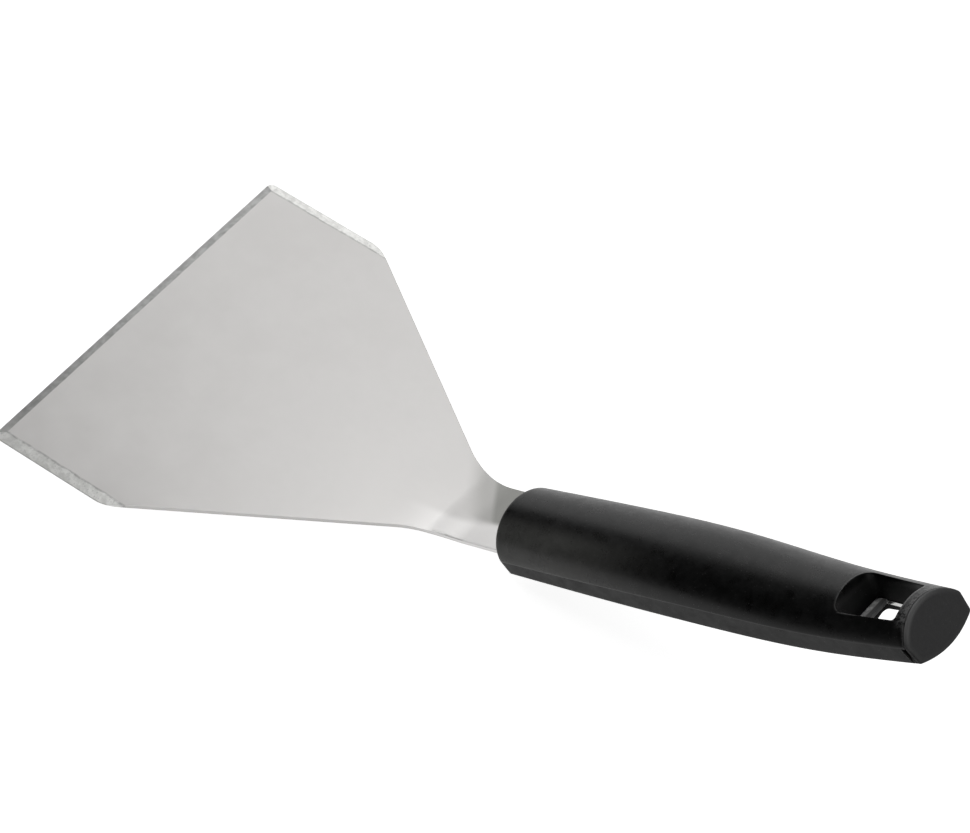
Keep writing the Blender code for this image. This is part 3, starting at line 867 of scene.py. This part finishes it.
def ring_at(bm, outline, height):
    """A ring of points along an outline at one height."""
    return [bm.verts.new((s, y, height)) for s, y in outline]


def upper_slot(bm, block, skin_grid, flat_grid, lift):
    """The upper shell's sheets, and its slot's walls carried down to the tang in a collar."""
    sides = block[3] - block[2]
    ends = block[1] - block[0]
    opening = bowed(slot_ring(0, mouth_half, sides, ends))
    skin, mouth = sheet(bm, skin_grid, block, opening, dome_height, False)
    foot = slot_ring(0, lambda s, y: slot_half(s, COLLAR_BASE), sides, ends)
    outer = slot_ring(COLLAR_WALL, lambda s, y: slot_half(s, COLLAR_BASE), sides, ends)
    flat, seat = sheet(bm, flat_grid, block, outer, lambda s, y: joint_at(s)[1] + lift, True)
    inner_foot = ring_at(bm, foot, COLLAR_BASE)
    outer_foot = ring_at(bm, outer, COLLAR_BASE)
    lip = [bm.verts.new(high.co.lerp(low.co, MOUTH_LIP_SHARE))
           for high, low in zip(mouth, inner_foot)]
    rings = (mouth, lip, inner_foot, outer_foot, seat)
    for first, second in zip(rings, rings[1:]):
        bridge(bm, first, second)
    return skin, flat, mouth


def lower_slot(bm, block, skin_grid, flat_grid, lift):
    """The lower shell's sheets and the walls of its slot, flared downwards."""
    sides = block[3] - block[2]
    ends = block[1] - block[0]
    low_half = SLOT_WIDTH / 2 + SLOT_FLARE * SLOT_FLARE_SHARE
    low = slot_ring(0, lambda s, y: low_half, sides, ends)
    high = slot_ring(COLLAR_WALL + JOINT_GAP, lambda s, y: SLOT_WIDTH / 2, sides, ends)
    low = [(s, -y) for s, y in low]
    high = [(s, -y) for s, y in high]
    skin, mouth = sheet(bm, skin_grid, block, low, bottom_height, False)
    flat, seat = sheet(bm, flat_grid, block, high, lambda s, y: joint_at(s)[1] + lift, True)
    bridge(bm, mouth, seat)
    return skin, flat, mouth


def add_end_plug(bm):
    """The lower shell's end inside its rebate, drawn in all round, up to the end cap."""
    read, count = table_of(plug_rows)
    rings = []
    for position in (REBATE_START - PLUG_ROOT, SHELL_END):
        ring = []
        for row in range(count):
            along = crossing(read, row, position, END_SLANT)
            ring.append(bm.verts.new((along, *read(row, along))))
        rings.append(ring)
    bm.faces.new(rings[0])
    bm.faces.new(rings[1])
    bridge(bm, *rings)


def make_shell(name, upper, material, replaced):
    """One of the handle's two shells, as a closed skin with its joint face and slot walls."""
    read, count = table_of(upper_rows if upper else lower_rows)
    rows = count - 1
    curved_rows = DOME_ROWS if upper else BOTTOM_ROWS
    # The rows on each side that come before the dome's or the bottom's own
    lead = (count - (curved_rows - 1)) // 2
    first_row = lead + (UPPER_BLOCK_ROWS if upper else LOWER_BLOCK_ROWS)
    steps = [round(share * ALONG_STEPS) for share in (UPPER_BLOCK if upper else LOWER_BLOCK)]
    block = (first_row, rows - first_row, *steps)
    lift = JOINT_GAP / 2 if upper else -JOINT_GAP / 2
    grids = shell_grids(read, count, lead, SHELL_END if upper else REBATE_START, lift)
    bm = bmesh.new()
    weights = bm.edges.layers.float.new("bevel_weight_edge")
    make_slot = upper_slot if upper else lower_slot
    skin, flat, mouth = make_slot(bm, block, *grids, lift)
    for place, vert in list(flat.items()):
        if place[1] in (0, rows):
            bmesh.ops.weld_verts(bm, targetmap={vert: skin[place]})
            flat[place] = skin[place]
    for k, vert in enumerate(mouth):
        bm.edges.get((vert, mouth[(k + 1) % len(mouth)]))[weights] = SLOT_EDGE_SHARE
    close_end(bm, skin, flat, 0, rows, weights, 1.0)
    close_end(bm, skin, flat, ALONG_STEPS, rows, weights, END_EDGE_SHARE)
    # The slot's mouth and the shell's rim and end: worn, and also given a painted highlight
    worn_and_highlit = mouth + [skin[step, row] for step in (0, ALONG_STEPS) for row in range(rows + 1)]
    if not upper:
        add_end_plug(bm)
    to_row_frame(bm)
    places = [vert.co.copy() for vert in worn_and_highlit]
    shell = object_from(bm, name)
    bevel = shell.modifiers.new("edges", "BEVEL")
    bevel.width = RIM_ROUNDING
    bevel.segments = RIM_SEGMENTS
    bevel.limit_method = "WEIGHT"
    finish_mesh(shell, HANDLE_SHARP_ANGLE, material)
    mark_points(shell, WORN_AND_HIGHLIT_MARK, WORN_AND_HIGHLIT_REACH, places)
    if not upper:
        matt = shell.data.attributes.new(MATT_MARK, "FLOAT", "POINT")
        for value in matt.data:
            value.value = 1.0
    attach(shell, "root")
    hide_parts(replaced)


def make_end_cap(material):
    """A thin plate on the handle's end, with a small groove behind and a rounded rim."""
    read, count = table_of(whole_rows)
    profile = [(CAP_THICKNESS, CAP_GROOVE), (CAP_THICKNESS - CAP_GROOVE, 0)]
    for step in range(CAP_RIM_STEPS + 1):
        angle = pi / 2 * step / CAP_RIM_STEPS
        profile.append((CAP_ROUNDING * (1 - sin(angle)), CAP_ROUNDING * (1 - cos(angle))))
    profile.append((0, CAP_ROUNDING + CAP_BORDER))
    normal = Vector((cos(END_SLANT), 0, sin(END_SLANT)))
    bm = bmesh.new()
    marks = bm.verts.layers.float.new(WORN_AND_HIGHLIT_MARK)
    rings = []
    for depth, inset in profile:
        position = HANDLE_LENGTH - depth / cos(END_SLANT)
        places = [crossing(read, row, position, END_SLANT) for row in range(count)]
        outline = [Vector((along, *read(row, along))) for row, along in enumerate(places)]
        ring = []
        for row, point in enumerate(outline):
            run = outline[(row + 1) % count] - outline[row - 1]
            ring.append(bm.verts.new(point + normal.cross(run).normalized() * inset))
            ring[-1][marks] = 1.0 if depth + inset < CAP_WORN_AND_HIGHLIT_REACH else 0.0
        rings.append(ring)
    centre = sum((vert.co for vert in rings[-1]), Vector()) / count
    rings.append([bm.verts.new(vert.co.lerp(centre, CAP_FACE_SHARE)) for vert in rings[-1]])
    bm.faces.new(rings[0])
    bm.faces.new(rings[-1])
    for first, second in zip(rings, rings[1:]):
        bridge(bm, first, second)
    to_row_frame(bm)
    cap = object_from(bm, "cap_plate")
    finish_mesh(cap, HANDLE_SHARP_ANGLE, material)
    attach(cap, "root")
    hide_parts("end_cap")


class Graph:
    """Short ways to add and join the nodes of one tree."""

    def __init__(self, tree):
        self.nodes = tree.nodes
        self.links = tree.links

    def add(self, kind, **settings):
        """A new node with its settings."""
        node = self.nodes.new(kind)
        for name, value in settings.items():
            setattr(node, name, value)
        return node

    def put(self, value, socket):
        """Links another socket into this one, or sets a plain value on it."""
        if isinstance(value, bpy.types.NodeSocket):
            self.links.new(value, socket)
        else:
            socket.default_value = value

    def math(self, operation, *values):
        """One step of arithmetic."""
        node = self.add("ShaderNodeMath", operation=operation)
        for socket, value in zip(node.inputs, values):
            self.put(value, socket)
        return node.outputs[0]

    def product(self, first, *others):
        """Several values multiplied."""
        for value in others:
            first = self.math("MULTIPLY", first, value)
        return first

    def raised(self, value, *steps):
        """A value with a set amount added where each mask lies."""
        for mask, amount in steps:
            value = self.math("MULTIPLY_ADD", mask, amount, value)
        return value

    def place(self):
        """Where a point lies, in the object's own frame."""
        return self.add("ShaderNodeTexCoord").outputs["Object"]

    def split(self, vector):
        """A vector's three parts."""
        node = self.add("ShaderNodeSeparateXYZ")
        self.put(vector, node.inputs[0])
        return node.outputs["X"], node.outputs["Y"], node.outputs["Z"]

    def stretch(self, vector, scale):
        """A vector scaled along each axis, so that a pattern on it is drawn out or packed."""
        node = self.add("ShaderNodeMapping")
        self.put(vector, node.inputs["Vector"])
        node.inputs["Scale"].default_value = scale
        return node.outputs["Vector"]

    def noise(self, vector, fineness, detail, roughness):
        """A cloudy value from 0 to 1."""
        node = self.add("ShaderNodeTexNoise")
        self.put(vector, node.inputs["Vector"])
        self.put(fineness, node.inputs["Scale"])
        node.inputs["Detail"].default_value = detail
        node.inputs["Roughness"].default_value = roughness
        return node.outputs["Fac"]

    def fade(self, value, low, high, first=0.0, last=1.0):
        """A soft step from the first value to the last, between two limits."""
        node = self.add("ShaderNodeMapRange", interpolation_type="SMOOTHSTEP")
        for label, limit in (("Value", value), ("From Min", low), ("From Max", high),
                             ("To Min", first), ("To Max", last)):
            self.put(limit, node.inputs[label])
        return node.outputs["Result"]

    def rise(self, value, middle, blur):
        """A soft step from 0 up to 1, blurred on both sides of its middle."""
        return self.fade(value, middle - blur, middle + blur)

    def drop(self, value, middle, blur):
        """A soft step from 1 down to 0, blurred on both sides of its middle."""
        return self.fade(value, middle - blur, middle + blur, 1.0, 0.0)

    def range(self, value, first, last):
        """A value from 0 to 1 spread between two others."""
        node = self.add("ShaderNodeMapRange")
        self.put(value, node.inputs["Value"])
        self.put(first, node.inputs["To Min"])
        self.put(last, node.inputs["To Max"])
        return node.outputs["Result"]

    def blend(self, share, first, second):
        """A colour between two."""
        node = self.add("ShaderNodeMix", data_type="RGBA")
        self.put(share, node.inputs["Factor"])
        colours = [socket for socket in node.inputs if socket.type == "RGBA"]
        for socket, colour in zip(colours, (first, second)):
            self.put(colour if isinstance(colour, bpy.types.NodeSocket) else (*colour, 1), socket)
        return next(socket for socket in node.outputs if socket.type == "RGBA")

    def layered(self, base, layers):
        """A base colour with further colours laid over it, each through its own mask."""
        for share, colour in layers:
            base = self.blend(share, base, colour)
        return base

    def bump(self, height, distance):
        """A fine relief, as a normal for the shader."""
        node = self.add("ShaderNodeBump")
        node.inputs["Strength"].default_value = 1.0
        node.inputs["Distance"].default_value = distance
        self.put(height, node.inputs["Height"])
        return node.outputs["Normal"]

    def effect(self, group, **values):
        """One of the shared effects, with this material's own values."""
        node = self.add("ShaderNodeGroup")
        node.node_tree = group
        for label, value in values.items():
            self.put(value, node.inputs[label.replace("_", " ").capitalize()])
        return node.outputs


def new_effect(name, inputs, outputs):
    """An empty shader node group with named inputs and outputs."""
    tree = bpy.data.node_groups.new(name, "ShaderNodeTree")
    for label, value in inputs.items():
        socket = tree.interface.new_socket(label, in_out="INPUT", socket_type="NodeSocketFloat")
        socket.default_value = value
    for label in outputs:
        tree.interface.new_socket(label, in_out="OUTPUT", socket_type="NodeSocketFloat")
    graph = Graph(tree)
    return tree, graph, graph.add("NodeGroupInput").outputs, graph.add("NodeGroupOutput").inputs


def make_moulded_grain():
    """The fine pebbled grain of moulded plastic, with slow blotches in its sheen."""
    tree, graph, given, out = new_effect(
        "moulded_grain", {"Fineness": 2600.0, "Blotch fineness": 240.0}, ("Height", "Mottle"))
    place = graph.place()
    pebbles = graph.noise(place, given["Fineness"], detail=3, roughness=0.6)
    blotches = graph.noise(place, given["Blotch fineness"], detail=4, roughness=0.65)
    graph.put(graph.raised(pebbles, (blotches, BLOTCH_HEIGHT)), out["Height"])
    graph.put(graph.rise(blotches, 0.5, BLOTCH_BLUR), out["Mottle"])
    return tree


def make_brushing():
    """Fine parallel lines of grinding across the blade, and slow clouds in the polish."""
    tree, graph, given, out = new_effect(
        "fine_brushing", {"Line fineness": 3000.0, "Cloud fineness": 26.0}, ("Height", "Cloud"))
    place = graph.place()
    across = graph.stretch(place, BRUSHING_STRETCH)
    lines = graph.noise(across, given["Line fineness"], detail=2, roughness=0.6)
    clouds = graph.noise(place, given["Cloud fineness"], detail=4, roughness=0.6)
    graph.put(lines, out["Height"])
    graph.put(graph.rise(clouds, 0.5, CLOUD_BLUR), out["Cloud"])
    return tree


def make_edge_wear_and_highlight():
    """A mask over marked edges, broken up into patches: partly real marks of handling, partly a
    painted highlight.
    """
    tree, graph, given, out = new_effect(
        "edge_wear_and_highlight", {"Sharpness": 6.0, "Patch fineness": 500.0, "Patch gap": 0.4}, ("Mask",))
    mark = graph.add("ShaderNodeAttribute", attribute_name=WORN_AND_HIGHLIT_MARK).outputs["Fac"]
    edge = graph.math("POWER", mark, given["Sharpness"])
    patch = graph.noise(graph.place(), given["Patch fineness"], detail=4, roughness=0.7)
    gap_end = graph.math("ADD", given["Patch gap"], WEAR_PATCH_WIDTH)
    patch = graph.fade(patch, given["Patch gap"], gap_end)
    graph.put(graph.product(edge, patch), out["Mask"])
    return tree


def make_fine_specks():
    """A thin scatter of small specks."""
    tree, graph, given, out = new_effect(
        "fine_specks", {"Fineness": 900.0, "Share": 0.1}, ("Mask",))
    cells = graph.add("ShaderNodeTexVoronoi")
    graph.put(graph.place(), cells.inputs["Vector"])
    graph.put(given["Fineness"], cells.inputs["Scale"])
    chance = graph.split(cells.outputs["Color"])[0]
    chosen = graph.math("LESS_THAN", chance, given["Share"])
    dot = graph.fade(cells.outputs["Distance"], *SPECK_EDGE, 1.0, 0.0)
    graph.put(graph.product(chosen, dot), out["Mask"])
    return tree


def new_material(name):
    """A material, the short ways into its tree, and its Principled BSDF's inputs."""
    material = bpy.data.materials.new(name)
    material.use_nodes = True
    shader = material.node_tree.nodes["Principled BSDF"].inputs
    return material, Graph(material.node_tree), shader


def handle_axis(graph, x, z, run_share, rise_share):
    """How far a place lies from the handle's front end along one of its own axes."""
    run = graph.product(graph.math("SUBTRACT", x, HANDLE_PLACE[0]), run_share)
    rise = graph.product(graph.math("SUBTRACT", z, HANDLE_PLACE[2]), rise_share)
    return graph.math("ADD", run, rise)


def along_handle(graph, x, z):
    """How far a place lies along the handle from its front rim."""
    return handle_axis(graph, x, z, cos(HANDLE_TILT), sin(HANDLE_TILT))


def over_tang(graph, x, z):
    """How far a place lies above the tang's middle, square to the handle."""
    return handle_axis(graph, x, z, -sin(HANDLE_TILT), cos(HANDLE_TILT))


def edge_zones(graph, place, x, side):
    """Masks for the ground front and side edges, the painted highlight on their corners, inner
    lines and lips.
    """
    half = BLADE_WIDTH / 2
    from_front = graph.math("SUBTRACT", x, FRONT_X)
    into_side = graph.math("SUBTRACT", side, half - SIDE_GRIND)
    front = graph.drop(from_front, FRONT_GRIND, GRIND_BLUR)
    lean = graph.math("MULTIPLY_ADD", from_front, CORNER_SLOPE, into_side)
    corner = graph.rise(lean, FRONT_GRIND * CORNER_SLOPE, GRIND_BLUR)
    wander = graph.noise(place, fineness=180, detail=3, roughness=0.6)
    wander = graph.math("MULTIPLY_ADD", wander, 2 * LINE_WANDER, -LINE_WANDER)
    off_line = graph.math("ABSOLUTE", graph.math("ADD", into_side, wander))
    line = graph.fade(off_line, 0.0, LINE_WIDTH, 1.0, 0.0)
    return {
        "side": graph.rise(into_side, 0.0, GRIND_BLUR),
        "front": graph.product(front, graph.math("SUBTRACT", 1.0, corner)),
        "corner": graph.product(front, corner),
        "line": graph.product(line, graph.rise(from_front, LINE_START, LINE_START_BLUR)),
        "lip": graph.rise(side, half - LIP_WIDTH, LIP_BLUR),
    }


def neck_zones(graph, x, y):
    """Masks for the two sides of the neck: a painted highlight on one, a painted shade in two steps
    on the other.
    """
    across = graph.math("MULTIPLY_ADD", y, NECK_PATCH_SLOPE, x)
    faint = graph.rise(across, NECK_PATCH_START, NECK_PATCH_START_BLUR)
    strong = graph.rise(across, NECK_PATCH_STEP, NECK_PATCH_BLUR)
    steps = graph.raised(graph.product(faint, NECK_PATCH_SHARE), (strong, NECK_PATCH_SHARE))
    lean = graph.math("MULTIPLY_ADD", x, NECK_HIGHLIGHT_LEAN, y)
    return {
        "neck_shade": graph.product(graph.rise(y, NECK_PATCH_EDGE, NECK_PATCH_BLUR), steps),
        "neck_highlight": graph.product(graph.drop(lean, NECK_HIGHLIGHT_EDGE, NECK_HIGHLIGHT_BLUR),
                                graph.rise(x, NECK_HIGHLIGHT_START, NECK_HIGHLIGHT_START_BLUR)),
    }


def tang_zones(graph, x, z):
    """Masks for the tang's sheared ledge, the painted shade at its border before the hole, and the
    edges of its hole.
    """
    along = along_handle(graph, x, z)
    hole_front = SLOT_START + LEDGE_ENDS
    tang = graph.rise(along, TANG_FINISH_START, TANG_FINISH_BLUR)
    sheared = graph.product(tang, graph.drop(along, hole_front + SHEARED_PAST, SHEARED_BLUR))
    return {
        "sheared": sheared,
        "ledge_shade": graph.rise(along, hole_front - LEDGE_SHADE_WIDTH, LEDGE_SHADE_BLUR),
        "edge": graph.math("SUBTRACT", tang, sheared),
    }


def steel_colour(graph, zones, cloud, grit, patches):
    """The steel's colour, laid over its satin base zone by zone."""
    # The front grind is darkened with painted shade
    front = graph.blend(patches, SHADED_FRONT_GROUND_LOW, SHADED_FRONT_GROUND_HIGH)
    # The front grind lightens towards its near end: a painted highlight
    front = graph.blend(graph.product(zones["near_end_highlight"], NEAR_END_HIGHLIGHT_SHARE), front, PAINTED_CORNER_HIGHLIGHT)
    sheared = graph.blend(patches, SHEARED_LOW, SHEARED_HIGH)
    return graph.layered(graph.blend(cloud, STEEL_LOW, STEEL_HIGH), (
        (zones["side"], graph.blend(patches, GROUND_LOW, GROUND_HIGH)),
        (zones["front"], front),
        # The corners get a painted highlight
        (zones["corner"], PAINTED_CORNER_HIGHLIGHT),
        (graph.product(zones["side"], grit, PIT_SHARE), DARK_STEEL),
        (graph.product(zones["line"], graph.range(patches, *LINE_SHARES)), DARK_STEEL),
        (graph.product(zones["lip"], LIP_SHARE), DARK_STEEL),
        # The neck: a painted highlight on its near side, a painted shade on its far side
        (zones["neck_highlight"], NECK_PAINTED_HIGHLIGHT),
        (zones["neck_shade"], NECK_PAINTED_SHADE),
        # The ledge's last stretch before the hole gets a painted shade
        (zones["sheared"], graph.blend(zones["ledge_shade"], sheared, LEDGE_PAINTED_SHADE)),
        (zones["edge"], EDGE_STEEL),
    ))


def make_steel(brushing, specks):
    """Satin steel with faint clouds, ground edges and a rough sheared tang."""
    material, graph, shader = new_material("satin_steel")
    place = graph.place()
    x, y, z = graph.split(place)
    zones = {
        **edge_zones(graph, place, x, graph.math("ABSOLUTE", y)),
        **neck_zones(graph, x, y),
        **tang_zones(graph, x, z),
        "near_end_highlight": graph.fade(y, -BLADE_WIDTH / 2, NEAR_END_HIGHLIGHT_REACH - BLADE_WIDTH / 2, 1.0, 0.0),
    }
    polish = graph.effect(brushing)
    grit = graph.effect(specks, fineness=1100.0, share=0.3)["Mask"]
    patches = graph.noise(place, fineness=420, detail=4, roughness=0.65)
    patches = graph.rise(patches, 0.5, GROUND_PATCH_BLUR)
    graph.put(steel_colour(graph, zones, polish["Cloud"], grit, patches), shader["Base Color"])
    graph.put(graph.math("MULTIPLY_ADD", zones["sheared"], -SHEARED_DULLING, 1.0),
              shader["Metallic"])
    rough = graph.raised(graph.range(polish["Cloud"], *STEEL_ROUGHNESS),
                         (zones["side"], GROUND_ROUGHER), (zones["edge"], EDGE_ROUGHER),
                         (zones["sheared"], SHEARED_ROUGHER))
    graph.put(rough, shader["Roughness"])
    marks = graph.noise(graph.stretch(place, MARK_STRETCH), fineness=1800, detail=3, roughness=0.7)
    lumps = graph.noise(place, fineness=1600, detail=3, roughness=0.7)
    height = graph.raised(polish["Height"], (graph.product(marks, zones["side"]), MARK_HEIGHT),
                          (graph.product(lumps, zones["sheared"]), LUMP_HEIGHT))
    graph.put(graph.bump(height, STEEL_RELIEF), shader["Normal"])
    return material


def painted_rim_sheen(graph, place):
    """A faint cloudy painted sheen on the lower part of the grip's near side, strongest at its rim.
    """
    x, y, z = graph.split(place)
    along = graph.drop(along_handle(graph, x, z), PAINTED_SHEEN_END, PAINTED_SHEEN_END_BLUR)
    low = graph.drop(y, PAINTED_SHEEN_SIDE, PAINTED_SHEEN_SIDE_BLUR)
    cloud = graph.range(graph.noise(place, fineness=160, detail=3, roughness=0.6), *PAINTED_SHEEN_CLOUD)
    return graph.product(along, low, cloud)


def slot_recess(graph, place):
    """The walls deep inside the slot, where no light or cloth gets to."""
    x, y, z = graph.split(place)
    along = along_handle(graph, x, z)
    start = graph.rise(along, SLOT_START - RECESS_FRONT, RECESS_BLUR)
    end = graph.drop(along, SLOT_END + RECESS_REAR, RECESS_BLUR)
    side = graph.math("ABSOLUTE", y)
    near = graph.drop(side, SLOT_MOUTH_FRONT / 2 + RECESS_BLUR, RECESS_BLUR)
    deep = graph.drop(over_tang(graph, x, z), RECESS_TOP, RECESS_TOP_BLUR)
    return graph.product(start, end, near, deep)


def worn_and_highlit_end(graph, place):
    """The stretch between the slot and the handle's end: scuffs from hooks and hands, with a
    painted highlight strongest high up on the near side.
    """
    x, y, z = graph.split(place)
    rear = graph.fade(along_handle(graph, x, z), SLOT_END, SLOT_END + END_WORN_HIGHLIT_RISE)
    high = graph.rise(over_tang(graph, x, z), END_WORN_HIGHLIT_HEIGHT, END_WORN_HIGHLIT_BLUR)
    near_side = graph.fade(y, *END_WORN_HIGHLIT_SIDE, 1.0, END_WORN_HIGHLIT_FAR_SHARE)
    scuffs = graph.noise(place, fineness=900, detail=4, roughness=0.75)
    return graph.product(rear, high, near_side, graph.fade(scuffs, *END_WORN_HIGHLIT_SCUFFS))


def make_handle_plastic(grain, wear_and_highlight, specks):
    """Black moulded plastic with a fine grain, worn a little along its edges, with painted
    highlights there and behind the slot, and a painted sheen near the rim.
    """
    material, graph, shader = new_material("black_moulded_plastic")
    shader["Specular IOR Level"].default_value = PLASTIC_SHEEN
    place = graph.place()
    skin = graph.effect(grain)
    worn_and_highlit = graph.effect(wear_and_highlight, sharpness=5.0, patch_fineness=420.0, patch_gap=0.3)["Mask"]
    dust = graph.effect(specks, fineness=1500.0, share=0.05)["Mask"]
    matt = graph.add("ShaderNodeAttribute", attribute_name=MATT_MARK).outputs["Fac"]
    recess = slot_recess(graph, place)
    base = graph.layered(graph.blend(skin["Mottle"], PLASTIC_LOW, PLASTIC_HIGH), (
        # Worn edges, with a painted highlight along them
        (graph.product(worn_and_highlit, WORN_AND_HIGHLIT_SHARE), PALE_WEAR_DUST_AND_HIGHLIGHT),
        # A painted sheen near the rim, weaker on the matt lower shell
        (graph.product(painted_rim_sheen(graph, place), graph.range(matt, 1.0, MATT_PAINTED_SHEEN)), PAINTED_RIM_SHEEN),
        (recess, RECESS_PLASTIC),
        # Scuffs and a painted highlight behind the slot
        (graph.product(worn_and_highlit_end(graph, place), WORN_AND_HIGHLIT_END_SHARE), PALE_WEAR_DUST_AND_HIGHLIGHT),
        (graph.product(dust, DUST_SHARE), PALE_WEAR_DUST_AND_HIGHLIGHT),
    ))
    graph.put(base, shader["Base Color"])
    blots = graph.fade(graph.noise(place, fineness=170, detail=4, roughness=0.7), *BLOT_EDGE)
    rough = graph.raised(graph.range(skin["Mottle"], *PLASTIC_ROUGHNESS),
                         (blots, BLOT_ROUGHER), (matt, MATT_ROUGHER),
                         (recess, RECESS_ROUGHER), (worn_and_highlit, WORN_AND_HIGHLIT_ROUGHER))
    graph.put(rough, shader["Roughness"])
    graph.put(graph.bump(skin["Height"], PLASTIC_RELIEF), shader["Normal"])
    return material


def make_cap_plastic(grain, wear_and_highlight, specks):
    """The end cap's greyer plastic, matt on its face, and worn round its rim, with a painted
    highlight strongest high up on the near side.
    """
    material, graph, shader = new_material("matt_cap_plastic")
    shader["Specular IOR Level"].default_value = CAP_SHEEN
    skin = graph.effect(grain, fineness=1500.0, blotch_fineness=420.0)
    worn_and_highlit = graph.effect(wear_and_highlight, sharpness=1.2, patch_fineness=380.0, patch_gap=0.24)["Mask"]
    dust = graph.effect(specks, fineness=1100.0, share=0.06)["Mask"]
    x, y, z = graph.split(graph.place())
    high = graph.rise(over_tang(graph, x, z), CAP_WORN_HIGHLIT_HEIGHT, CAP_WORN_HIGHLIT_BLUR)
    near_side = graph.fade(y, *CAP_WORN_HIGHLIT_SIDE, 1.0, CAP_WORN_HIGHLIT_FAR_SHARE)
    # The rim: real scuffs and a painted highlight
    rim = graph.product(worn_and_highlit, graph.range(high, *CAP_WORN_HIGHLIT_SHARES), near_side)
    base = graph.layered(graph.blend(skin["Mottle"], CAP_LOW, CAP_HIGH), (
        (rim, PALE_WEAR_DUST_AND_HIGHLIGHT),
        (graph.product(dust, CAP_DUST_SHARE), PALE_WEAR_DUST_AND_HIGHLIGHT),
    ))
    graph.put(base, shader["Base Color"])
    graph.put(graph.range(skin["Mottle"], *CAP_ROUGHNESS), shader["Roughness"])
    graph.put(graph.bump(skin["Height"], CAP_RELIEF), shader["Normal"])
    return material


def add_camera():
    """The camera, at the photograph's angle."""
    camera = bpy.data.cameras.new("camera")
    camera.lens = CAMERA_LENS
    camera.sensor_width = CAMERA_SENSOR
    camera.clip_start, camera.clip_end = CAMERA_REACH
    holder = add_object("camera", camera)
    aim(holder, CAMERA_PLACE, CAMERA_TARGET)
    bpy.context.scene.camera = holder


def aim(holder, place, target):
    """Sets an object on a place with its view axis at a target."""
    holder.location = place
    holder.rotation_mode = "QUATERNION"
    look = Vector(target) - Vector(place)
    holder.rotation_quaternion = look.to_track_quat("-Z", "Y")


def add_lamp(name, turn, height, reach, size, power):
    """A softbox that faces the object from a compass angle and a height angle."""
    lamp = bpy.data.lights.new(name, "AREA")
    lamp.shape = "RECTANGLE"
    lamp.size, lamp.size_y = size
    lamp.energy = power
    holder = add_object(name, lamp)
    flat = cos(radians(height))
    way = Vector((cos(radians(turn)) * flat, sin(radians(turn)) * flat, sin(radians(height))))
    aim(holder, Vector(LAMP_TARGET) + way * reach, LAMP_TARGET)


def make_floor():
    """A pale floor, white to the camera and in reflections, that keeps the shadow."""
    material, graph, shader = new_material("studio_floor")
    shader["Base Color"].default_value = FLOOR_COLOUR
    shader["Roughness"].default_value = FLOOR_ROUGHNESS
    shader["Specular IOR Level"].default_value = FLOOR_GLOSS
    path = graph.add("ShaderNodeLightPath").outputs
    seen = graph.product(path["Is Camera Ray"], FLOOR_GLOW)
    mirrored = graph.product(path["Is Glossy Ray"], FLOOR_SHEEN)
    glow = graph.add("ShaderNodeEmission")
    graph.put(graph.math("ADD", seen, mirrored), glow.inputs["Strength"])
    add = graph.add("ShaderNodeAddShader")
    graph.put(material.node_tree.nodes["Principled BSDF"].outputs["BSDF"], add.inputs[0])
    graph.put(glow.outputs["Emission"], add.inputs[1])
    graph.put(add.outputs["Shader"], material.node_tree.nodes["Material Output"].inputs["Surface"])
    corners = [(x * FLOOR_REACH, y * FLOOR_REACH, FLOOR_HEIGHT)
               for x, y in ((-1, -1), (1, -1), (1, 1), (-1, 1))]
    mesh = bpy.data.meshes.new("studio_floor")
    mesh.from_pydata(corners, [], [(0, 1, 2, 3)])
    mesh.materials.append(material)
    add_object("studio_floor", mesh)


def make_world():
    """A dim room, white where the camera looks past the floor."""
    world = bpy.data.worlds.new("studio")
    bpy.context.scene.world = world
    world.use_nodes = True
    graph = Graph(world.node_tree)
    background = world.node_tree.nodes["Background"]
    background.inputs["Color"].default_value = (1, 1, 1, 1)
    background.inputs["Strength"].default_value = ROOM_LIGHT
    white = graph.add("ShaderNodeBackground")
    white.inputs["Strength"].default_value = 1.0
    mix = graph.add("ShaderNodeMixShader")
    graph.put(graph.add("ShaderNodeLightPath").outputs["Is Camera Ray"], mix.inputs["Fac"])
    graph.put(background.outputs["Background"], mix.inputs[1])
    graph.put(white.outputs["Background"], mix.inputs[2])
    graph.put(mix.outputs["Shader"], world.node_tree.nodes["World Output"].inputs["Surface"])


bpy.context.scene.view_settings.view_transform = "Standard"
add_camera()
make_world()
make_floor()
for lamp in SOFTBOXES:
    add_lamp(*lamp)

moulded_grain = make_moulded_grain()
fine_brushing = make_brushing()
edge_wear_and_highlight = make_edge_wear_and_highlight()
fine_specks = make_fine_specks()
handle_plastic = make_handle_plastic(moulded_grain, edge_wear_and_highlight, fine_specks)
make_blade(make_steel(fine_brushing, fine_specks))
make_shell("handle_top", True, handle_plastic, "upper_handle_shell")
make_shell("handle_base", False, handle_plastic, "lower_handle_shell")
make_end_cap(make_cap_plastic(moulded_grain, edge_wear_and_highlight, fine_specks))
